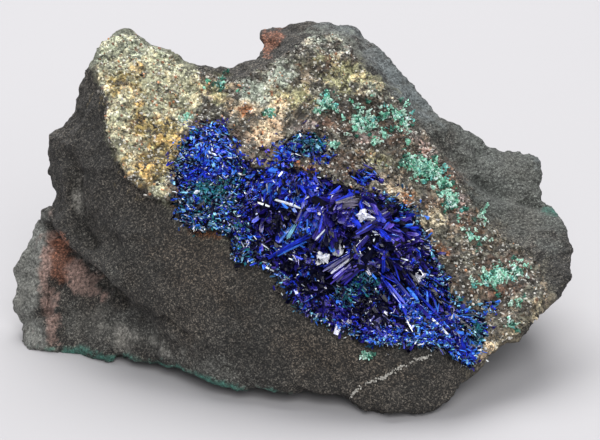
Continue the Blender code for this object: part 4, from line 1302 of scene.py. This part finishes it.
def mix_at(across, up, chance):
    """The name of the colour mix that a blade at this station takes."""
    depth = depth_in_region(np.array([across]), np.array([up]), LINARITE_FIELD)[0]
    near_edge = -depth > -RIM_DEPTH + chance.uniform(*RIM_WAVER)
    if near_edge and (across > RIM_RIGHT_OF or up < RIM_BELOW) and chance.random() < RIM_SHARE:
        return "rim"
    for mix, spot in MIX_SPOTS:
        depth = depth_in_spot(np.array([across]), np.array([up]), spot)[0]
        if depth > chance.uniform(*MIX_WAVER):
            return mix
    return "deep"


def picked_tint(mix, chance):
    tints, weights = zip(*MIXES[mix])
    return chance.choices(tints, weights)[0]


def glassy(tint, chance):
    """A tint a little lighter or darker, with a fourth value for how glassy the blade is."""
    shade = chance.uniform(*BLADE_SHADES)
    # Near-black blades, the painted shade, are kept dull so that they stay black.
    gloss = DULL_GLOSS if tint is NEAR_BLACK_AND_SHADE else chance.choice(BLADE_GLOSSES)
    return (*(min(channel * shade, 0.9) for channel in tint), gloss)


def plant_fans(surface, shapes, chance):
    """The long blades: each fan spreads from one root, and near it the blades lie in sheaves."""
    for across, up, heading, opening, count, length, width, mix in FANS:
        blades = round(count * FAN_CROWDING)
        for i in range(blades):
            share = (i + chance.random()) / blades - 0.5
            root_across = across + chance.gauss(0, FAN_SCATTER)
            root_up = up + chance.gauss(0, FAN_SCATTER)
            point, normal = sight_line(surface, root_across, root_up)
            if point is None:
                continue
            normal = (normal + eye_axis() * FAN_TOWARDS_EYE).normalized()
            turn = heading + opening * share + chance.gauss(0, FAN_SWAY)
            along = leaning(normal, turn, chance.uniform(*FAN_LEAN))
            roll = Matrix.Rotation(math.radians(chance.gauss(0, FAN_ROLL)), 3, along)
            size = length * chance.uniform(*FAN_LENGTH) * MM
            broad = width * chance.uniform(*FAN_WIDTH) * MM
            thick = broad * chance.uniform(*FAN_THICKNESS)
            tint = picked_tint(mix if chance.random() < OWN_MIX_SHARE else "deep", chance)
            # Painted glints are narrowed to thin needles.
            if tint is GLINT_AND_WHITE_CRYSTAL:
                broad *= NEEDLE_WIDTH
                size *= NEEDLE_LENGTH
            planting = chance.choice(shapes)[1]
            root = point - along * size * ROOT_SUNK
            planting.add(root, along, roll @ normal, size, broad, thick, glassy(tint, chance))


def plant_lone_blades(surface, shapes, chance):
    """The blades that stand out, each a sheaf of narrow laths between its own two stations."""
    eye = eye_axis()
    for across, up, tip_across, tip_up, width, lift, tint in LONE_BLADES:
        root, _ = sight_line(surface, across, up)
        tip, _ = sight_line(surface, tip_across, tip_up)
        if root is None or tip is None:
            continue
        span = tip - root + eye * chance.uniform(0.0, 0.4) * MM
        beside = span.cross(eye).normalized()
        laths = max(1, round(width / LATH_WIDTH))
        for i in range(laths):
            side = ((i + 0.5) / laths - 0.5) * width * MM
            start = root + beside * side * 0.6 + eye * (lift * 0.6 + chance.gauss(0, 0.12)) * MM
            along = span + beside * side * 0.8 + eye * chance.gauss(0, 0.2) * MM
            length = along.length * chance.uniform(0.75, 1.05)
            along.normalize()
            roll = Matrix.Rotation(math.radians(chance.gauss(0, LATH_ROLL)), 3, along)
            broad = width / laths * chance.uniform(0.9, 1.5) * MM
            shade = tint if chance.random() < 0.75 else chance.choice((NEAR_BLACK_AND_SHADE, INDIGO, ROYAL))
            chance.choice(shapes)[1].add(
                start, along, roll @ eye, length, broad, max(broad * 0.3, 0.1 * MM), glassy(shade, chance))


def under_lone_blade(across, up):
    """Whether a station lies below one of the lone blades."""
    for x0, y0, x1, y1, width, _, _ in LONE_BLADES:
        if gap_to_run(np.array([across]), np.array([up]), ((x0, y0), (x1, y1)))[0] < width * 0.45:
            return True
    return False


def nearest_heading(across, up):
    """The heading of the fan that a station lies closest to."""
    best = min(FANS, key=lambda fan: (fan[0] - across) ** 2 + (fan[1] - up) ** 2)
    return best[2]


def plant_fine_blades(surface, shapes, count, chance):
    """The small blades that fill the field between the fans, with a few strays past its edge."""
    tries = count * TRIES_PER_BLADE
    stations = np.array([(chance.uniform(*FIELD_ACROSS), chance.uniform(*FIELD_UP)) for _ in range(tries)])
    depth = depth_in_region(stations[:, 0], stations[:, 1], LINARITE_FIELD)
    for spot in OUTLYING:
        depth = np.maximum(depth, depth_in_spot(stations[:, 0], stations[:, 1], spot))
    kept = 0
    for (across, up), inside in zip(stations, depth):
        if kept >= count:
            break
        stray_reach = STRAY_REACH_ABOVE if up > 0.0 else STRAY_REACH_BELOW
        if inside < 0.0 and chance.random() > math.exp(inside / stray_reach):
            continue
        mix = mix_at(across, up, chance)
        coarse = mix in COARSE_MIXES and across > COARSE_FROM
        if coarse and (chance.random() < COARSE_THINNING or under_lone_blade(across, up)):
            continue
        point, normal = sight_line(surface, across, up)
        if point is None:
            continue
        kept += 1
        normal = (normal + eye_axis() * FINE_TOWARDS_EYE).normalized()
        heading = nearest_heading(across, up) + chance.gauss(0, COARSE_SPREAD if coarse else FINE_SPREAD)
        size = chance.uniform(*(COARSE_SIZE if coarse else FINE_SIZE)) * MM
        along = leaning(normal, heading, chance.uniform(*FINE_LEAN))
        broad = size * chance.uniform(*FINE_WIDTH)
        thick = broad * chance.uniform(*FINE_THICKNESS)
        roll = Matrix.Rotation(chance.gauss(0, FINE_ROLL), 3, along)
        raised = chance.uniform(0.0, COARSE_RAISE if coarse else FINE_RAISE) * MM
        root = point - along * size * ROOT_SUNK + normal * raised
        tint = picked_tint(mix, chance)
        # Painted glints are narrowed.
        if tint is GLINT_AND_WHITE_CRYSTAL:
            broad *= FINE_NEEDLE_WIDTH
        planting_tint = glassy(tint, chance)
        chance.choice(shapes)[1].add(root, along, roll @ normal, size, broad, thick, planting_tint)


def plant_tufts(surface, shapes, across, up, half_width, half_height, turn, count, chance):
    """Small stout green crystals in clumps, crowded in the middle of an oval and sparse at its edge."""
    tilt = math.radians(turn)
    for _ in range(max(1, count // TUFT_SIZE)):
        angle = chance.uniform(0, 2 * math.pi)
        reach = abs(chance.gauss(0, CLUMP_REACH))
        along = half_width * reach * math.cos(angle)
        beside = half_height * reach * math.sin(angle)
        clump_across = across + along * math.cos(tilt) - beside * math.sin(tilt)
        clump_up = up + along * math.sin(tilt) + beside * math.cos(tilt)
        clump_tint = np.array(chance.choices(DRUSE_TINTS, DRUSE_SHARES)[0])
        for _ in range(TUFT_SIZE):
            crystal_across = clump_across + chance.gauss(0, CLUMP_SCATTER[0])
            crystal_up = clump_up + chance.gauss(0, CLUMP_SCATTER[1])
            point, normal = sight_line(surface, crystal_across, crystal_up)
            if point is None:
                continue
            tint = np.minimum(clump_tint * chance.uniform(*TUFT_SHADES), 0.88)
            axis = leaning(normal, chance.uniform(0, 360), chance.uniform(*TUFT_LEAN))
            size = chance.uniform(*TUFT_CRYSTAL) * MM
            root = point - axis * size * ROOT_SUNK + normal * chance.uniform(*TUFT_RAISE) * MM
            thick = size * chance.uniform(*TUFT_WIDTH)
            chance.choice(shapes)[1].add(root, axis, axis.orthogonal(), size, thick, thick, tint)


class SPECIMEN_OT_host_rock(bpy.types.Operator):
    """Builds the dark host rock with its broken faces, stains and painted light"""
    bl_idname = "specimen.host_rock"
    bl_label = "Host rock"

    def execute(self, context):
        settings = context.scene.specimen_block
        rock = copied_nodes("host_rock_stone", ["host_rock"])
        even_out(rock, settings.rock_cell)
        soften(rock, ROCK_SOFT_ROUNDS)
        weather(rock, ROCK_RELIEF)
        crease(rock)
        paint_stone(rock)
        rock.data.materials.clear()
        rock.data.materials.append(host_rock_finish(settings))
        mount_piece(rock, "host_rock", "host_rock")
        self.plant_veinlet()
        return {"FINISHED"}

    def plant_veinlet(self):
        """Sets a row of calcite chips along the thin white veinlet."""
        chance = random.Random(VEINLET_SEED)
        chips = Planting()
        shape = model_grain("calcite_chip", (1.0, 0.8, 0.6), 35)
        surface = surface_of(["host_rock"])
        for (x0, y0), (x1, y1) in zip(CALCITE_VEINLET, CALCITE_VEINLET[1:]):
            for _ in range(round(math.hypot(x1 - x0, y1 - y0) * CHIPS_PER_MM)):
                share = chance.random()
                across = x0 + (x1 - x0) * share + chance.gauss(0, CHIP_SCATTER)
                up = y0 + (y1 - y0) * share + chance.gauss(0, CHIP_SCATTER)
                point, normal = sight_line(surface, across, up)
                if point is None:
                    continue
                along = leaning(normal, chance.uniform(0, 360), 0)
                size = chance.uniform(*CHIP_SIZE) * MM
                tint = np.array(CALCITE) * chance.uniform(0.6, 1.1)
                chips.add(point + normal * 0.1 * MM, along, normal, size, size, size, tint)
        finish = small_crystal_finish(*GRAIN_FINISH)
        plant_piece("calcite_veinlet", [(shape, chips)], finish, "host_rock")


class SPECIMEN_OT_vein(bpy.types.Operator):
    """Builds the pale vein crust and the grains set in it"""
    bl_idname = "specimen.vein"
    bl_label = "Vein crust"

    def execute(self, context):
        settings = context.scene.specimen_block
        vein = copied_nodes("vein_quartz_crust", ["vein_layer", *DRUSE_NODES])
        swell(vein, VEIN_SWELL)
        even_out(vein, settings.vein_cell)
        soften(vein, VEIN_SOFT_ROUNDS)
        weather(vein, VEIN_RELIEF)
        paint_stone(vein)
        vein.data.materials.clear()
        vein.data.materials.append(vein_finish())
        mount_piece(vein, "vein_quartz", "vein_layer")
        self.plant_grains(vein, settings.vein_grains)
        return {"FINISHED"}

    def plant_grains(self, vein, count):
        """Sets quartz grains all over the front of the crust."""
        chance = random.Random(GRAIN_SEED)
        shapes = [
            (model_grain("chipped_grain", (1.0, 0.7, 0.8), 20), Planting()),
            (model_grain("flat_grain", (0.9, 1.0, 0.45), 50), Planting()),
        ]
        points, normals = vertex_arrays(vein.data)
        facing = np.nonzero(normals @ np.array(eye_axis()) > 0.15)[0]
        chosen = [facing[chance.randrange(len(facing))] for _ in range(count)]
        tints = painted(points[chosen])
        for index, tint in zip(chosen, tints):
            draw = chance.random()
            shade = min(math.exp(chance.gauss(0.0, 0.55)), 3.0)
            if draw < WHITE_UNDER:
                tint = np.array(GRAIN_WHITE)
                shade = chance.uniform(0.7, 1.2)
            elif draw < DARK_UNDER and tint[1] < PALE_STAIN:
                tint = np.array(GRAIN_DARK)
            elif draw < RUSTY_UNDER:
                tint = np.array(GRAIN_RUSTY)
            size = chance.choice(GRAIN_SIZES) * chance.uniform(0.7, 1.2) * MM
            along = Vector((chance.gauss(0, 1), chance.gauss(0, 1), chance.gauss(0, 1))).normalized()
            face = along.orthogonal()
            root = Vector(points[index]) - along * size * 0.5 - Vector(normals[index]) * size * GRAIN_SUNK
            chance.choice(shapes)[1].add(root, along, face, size, size, size, np.minimum(tint * shade, 0.85))
        plant_piece("vein_quartz_grains", shapes, small_crystal_finish(*GRAIN_FINISH), "vein_quartz")


class SPECIMEN_OT_linarite(bpy.types.Operator):
    """Builds the linarite: its crust with the largest blades, the fans and the fine blades"""
    bl_idname = "specimen.linarite"
    bl_label = "Linarite"

    def execute(self, context):
        settings = context.scene.specimen_crystals
        finish = linarite_finish(settings)
        chance = random.Random(LINARITE_SEED)
        for name in LINARITE_NODES:
            crust = copied_nodes(name + "_crust", [name])
            swell(crust, CRUST_SWELL)
            self.tint_crust(crust, chance)
            crust.data.materials.clear()
            crust.data.materials.append(finish)
            mount_piece(crust, "linarite", name)
        surface = surface_of(LINARITE_NODES)
        shapes = [
            (model_blade("slanted_tablet", 0.72, 0.35, 0.18), Planting()),
            (model_blade("long_lath", 0.86, 0.55, -0.12), Planting()),
            (model_blade("broad_tablet", 0.6, 0.5, 0.0), Planting()),
        ]
        plant_fans(surface, shapes, chance)
        plant_lone_blades(surface, shapes, chance)
        plant_piece("linarite_fans", shapes, finish, "linarite", lay_sizes=True)
        wide = surface_of([*LINARITE_NODES, "vein_layer", "host_rock"])
        slivers = [
            (model_sliver("pointed_sliver", 0.3, 0.2), Planting()),
            (model_sliver("flat_sliver", 0.8, -0.1), Planting()),
        ]
        plant_fine_blades(wide, slivers, settings.fine_blades, chance)
        plant_piece("linarite_fine_blades", slivers, finish, "linarite", lay_sizes=True)
        return {"FINISHED"}

    def tint_crust(self, crust, chance):
        """Gives every facet its own tint, mostly near-black painted shade between the blades, by splitting
        the facets.
        """
        make_active(crust)
        apply_modifier(crust, "EDGE_SPLIT", "facets", split_angle=FACET_ANGLE)
        mesh = crust.data
        points, _ = vertex_arrays(mesh)
        tints = np.zeros((len(points), 4))
        parent = list(range(len(points)))

        def root_of(i):
            while parent[i] != i:
                parent[i] = parent[parent[i]]
                i = parent[i]
            return i

        for edge in mesh.edges:
            first, second = (root_of(i) for i in edge.vertices)
            parent[first] = second
        facet_tints = {}
        for i in range(len(points)):
            facet = root_of(i)
            if facet not in facet_tints:
                facet_tints[facet] = np.array(glassy(picked_tint("base", chance), chance))
            tints[i] = facet_tints[facet]
        store_colours(mesh, "tint", tints)
        lay = mesh.attributes.new("lay", "FLOAT_VECTOR", "POINT")
        lay.data.foreach_set("vector", (points / MM).astype(np.float32).ravel())


class SPECIMEN_OT_druses(bpy.types.Operator):
    """Builds the green druses out of small stout crystals"""
    bl_idname = "specimen.druses"
    bl_label = "Green druses"

    def execute(self, context):
        finish = small_crystal_finish(*DRUSE_FINISH)
        chance = random.Random(DRUSE_SEED)
        surface = surface_of(["vein_layer", "host_rock", *DRUSE_NODES])
        for name, druse in zip(DRUSE_NODES, DRUSES):
            self.grow(name + "_crystals", [druse], surface, finish, chance, [name])
        self.grow("green_specks", SPECKS, surface, finish, chance)
        return {"FINISHED"}

    def grow(self, piece_name, ovals, surface, finish, chance, nodes=()):
        """Makes one piece with the crystals of all these ovals."""
        shapes = [
            (model_spike("stout_spike", 5, 0.2), Planting()),
            (model_spike("squat_spike", 4, 0.3), Planting()),
        ]
        for oval in ovals:
            plant_tufts(surface, shapes, *oval, chance)
        plant_piece(piece_name, shapes, finish, "green_druse", nodes)


class SPECIMEN_OT_cerussite(bpy.types.Operator):
    """Builds the white crystals, each a small group of tablets"""
    bl_idname = "specimen.cerussite"
    bl_label = "Cerussite"

    def execute(self, context):
        finish = cerussite_finish(context.scene.specimen_crystals)
        chance = random.Random(CERUSSITE_SEED)
        for number in CERUSSITE_NUMBERS:
            node = f"cerussite_crystal_{number}"
            low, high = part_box(node)
            centre = (Vector(low) + Vector(high)) / 2 + eye_axis() * CERUSSITE_RAISE * MM
            span = (Vector(high) - Vector(low)).length
            tablets = Planting()
            shape = model_blade("white_tablet", 0.55, 0.4, 0.1)
            for _ in range(TABLETS_PER_GROUP):
                sway = Vector((chance.gauss(0, 0.6), chance.gauss(0, 0.6), chance.gauss(0, 0.6)))
                along = (eye_axis() + sway).normalized()
                size = span * chance.uniform(0.4, 0.65)
                shift = Vector((chance.gauss(0, 0.3), 0, chance.gauss(0, 0.3))) * MM
                root = centre - along * size * 0.35 + shift
                broad = size * chance.uniform(0.35, 0.6)
                tablets.add(root, along, along.orthogonal(), size, broad, size * 0.25, (1, 1, 1))
            plant_piece(f"cerussite_group_{number}", [(shape, tablets)], finish, "cerussite", [node])
        return {"FINISHED"}


class SPECIMEN_OT_stage(bpy.types.Operator):
    """Builds the floor, the lights and the camera"""
    bl_idname = "specimen.stage"
    bl_label = "Stage"

    def execute(self, context):
        settings = context.scene.specimen_stage
        deselect_all()
        bpy.ops.mesh.primitive_plane_add(size=FLOOR_SIDE)
        floor = context.object
        floor.name = "floor"
        material, tree, shader, vector = new_finish("plain_floor")
        haze = threshold(tree, noise_at(tree, vector, 30.0, 4.0), -6.0, 7.0)
        colour = tuple(settings.floor_colour)
        darker = tuple(channel * 0.9 for channel in colour)
        feed(tree, mixed(tree, haze, colour, darker), shader.inputs["Base Color"])
        shader.inputs["Roughness"].default_value = 0.9
        floor.data.materials.append(material)
        self.add_light("key_light", KEY_PLACE, KEY_SIDE, settings.key_power)
        self.add_light("fill_light", FILL_PLACE, FILL_SIDE, settings.fill_power)
        world = bpy.data.worlds.new("studio")
        world.use_nodes = True
        background = world.node_tree.nodes["Background"]
        background.inputs["Color"].default_value = AMBIENT_COLOUR
        background.inputs["Strength"].default_value = settings.ambient
        context.scene.world = world
        deselect_all()
        bpy.ops.object.camera_add(location=AIM + eye_axis() * EYE_DISTANCE * MM)
        camera = context.object
        camera.name = "view"
        camera.rotation_mode = "QUATERNION"
        camera.rotation_quaternion = eye_axis().to_track_quat("Z", "Y")
        camera.data.lens = LENS_MM
        camera.data.sensor_width = SENSOR_MM
        camera.data.clip_start = 0.01
        context.scene.camera = camera
        context.scene.view_settings.view_transform = "Standard"
        return {"FINISHED"}

    def add_light(self, name, place, side, power):
        """Hangs a square light that faces the specimen."""
        deselect_all()
        bpy.ops.object.light_add(type="AREA", location=place)
        light = bpy.context.object
        light.name = name
        light.rotation_mode = "QUATERNION"
        light.rotation_quaternion = (Vector(place) - AIM).to_track_quat("Z", "Y")
        light.data.size = side
        light.data.energy = power


class SPECIMEN_PT_panel(bpy.types.Panel):
    """Lists the settings and the steps that build the specimen"""
    bl_idname = "SPECIMEN_PT_panel"
    bl_label = "Linarite specimen"
    bl_space_type = "VIEW_3D"
    bl_region_type = "UI"
    bl_category = "Specimen"

    def draw(self, context):
        layout = self.layout
        for group in ("specimen_block", "specimen_crystals", "specimen_stage"):
            settings = getattr(context.scene, group)
            for key in settings.__annotations__:
                layout.prop(settings, key)
        for operator in OPERATORS:
            layout.operator(operator.bl_idname)


OPERATORS = (
    SPECIMEN_OT_host_rock,
    SPECIMEN_OT_vein,
    SPECIMEN_OT_linarite,
    SPECIMEN_OT_druses,
    SPECIMEN_OT_cerussite,
    SPECIMEN_OT_stage,
)
CLASSES = (BlockSettings, CrystalSettings, StageSettings, *OPERATORS, SPECIMEN_PT_panel)


def register():
    for entry in CLASSES:
        bpy.utils.register_class(entry)
    bpy.types.Scene.specimen_block = PointerProperty(type=BlockSettings)
    bpy.types.Scene.specimen_crystals = PointerProperty(type=CrystalSettings)
    bpy.types.Scene.specimen_stage = PointerProperty(type=StageSettings)


def unregister():
    del bpy.types.Scene.specimen_stage
    del bpy.types.Scene.specimen_crystals
    del bpy.types.Scene.specimen_block
    for entry in reversed(CLASSES):
        bpy.utils.unregister_class(entry)


def main():
    register()
    bpy.ops.specimen.host_rock()
    bpy.ops.specimen.vein()
    bpy.ops.specimen.linarite()
    bpy.ops.specimen.druses()
    bpy.ops.specimen.cerussite()
    bpy.ops.specimen.stage()


if __name__ == "__main__":
    main()
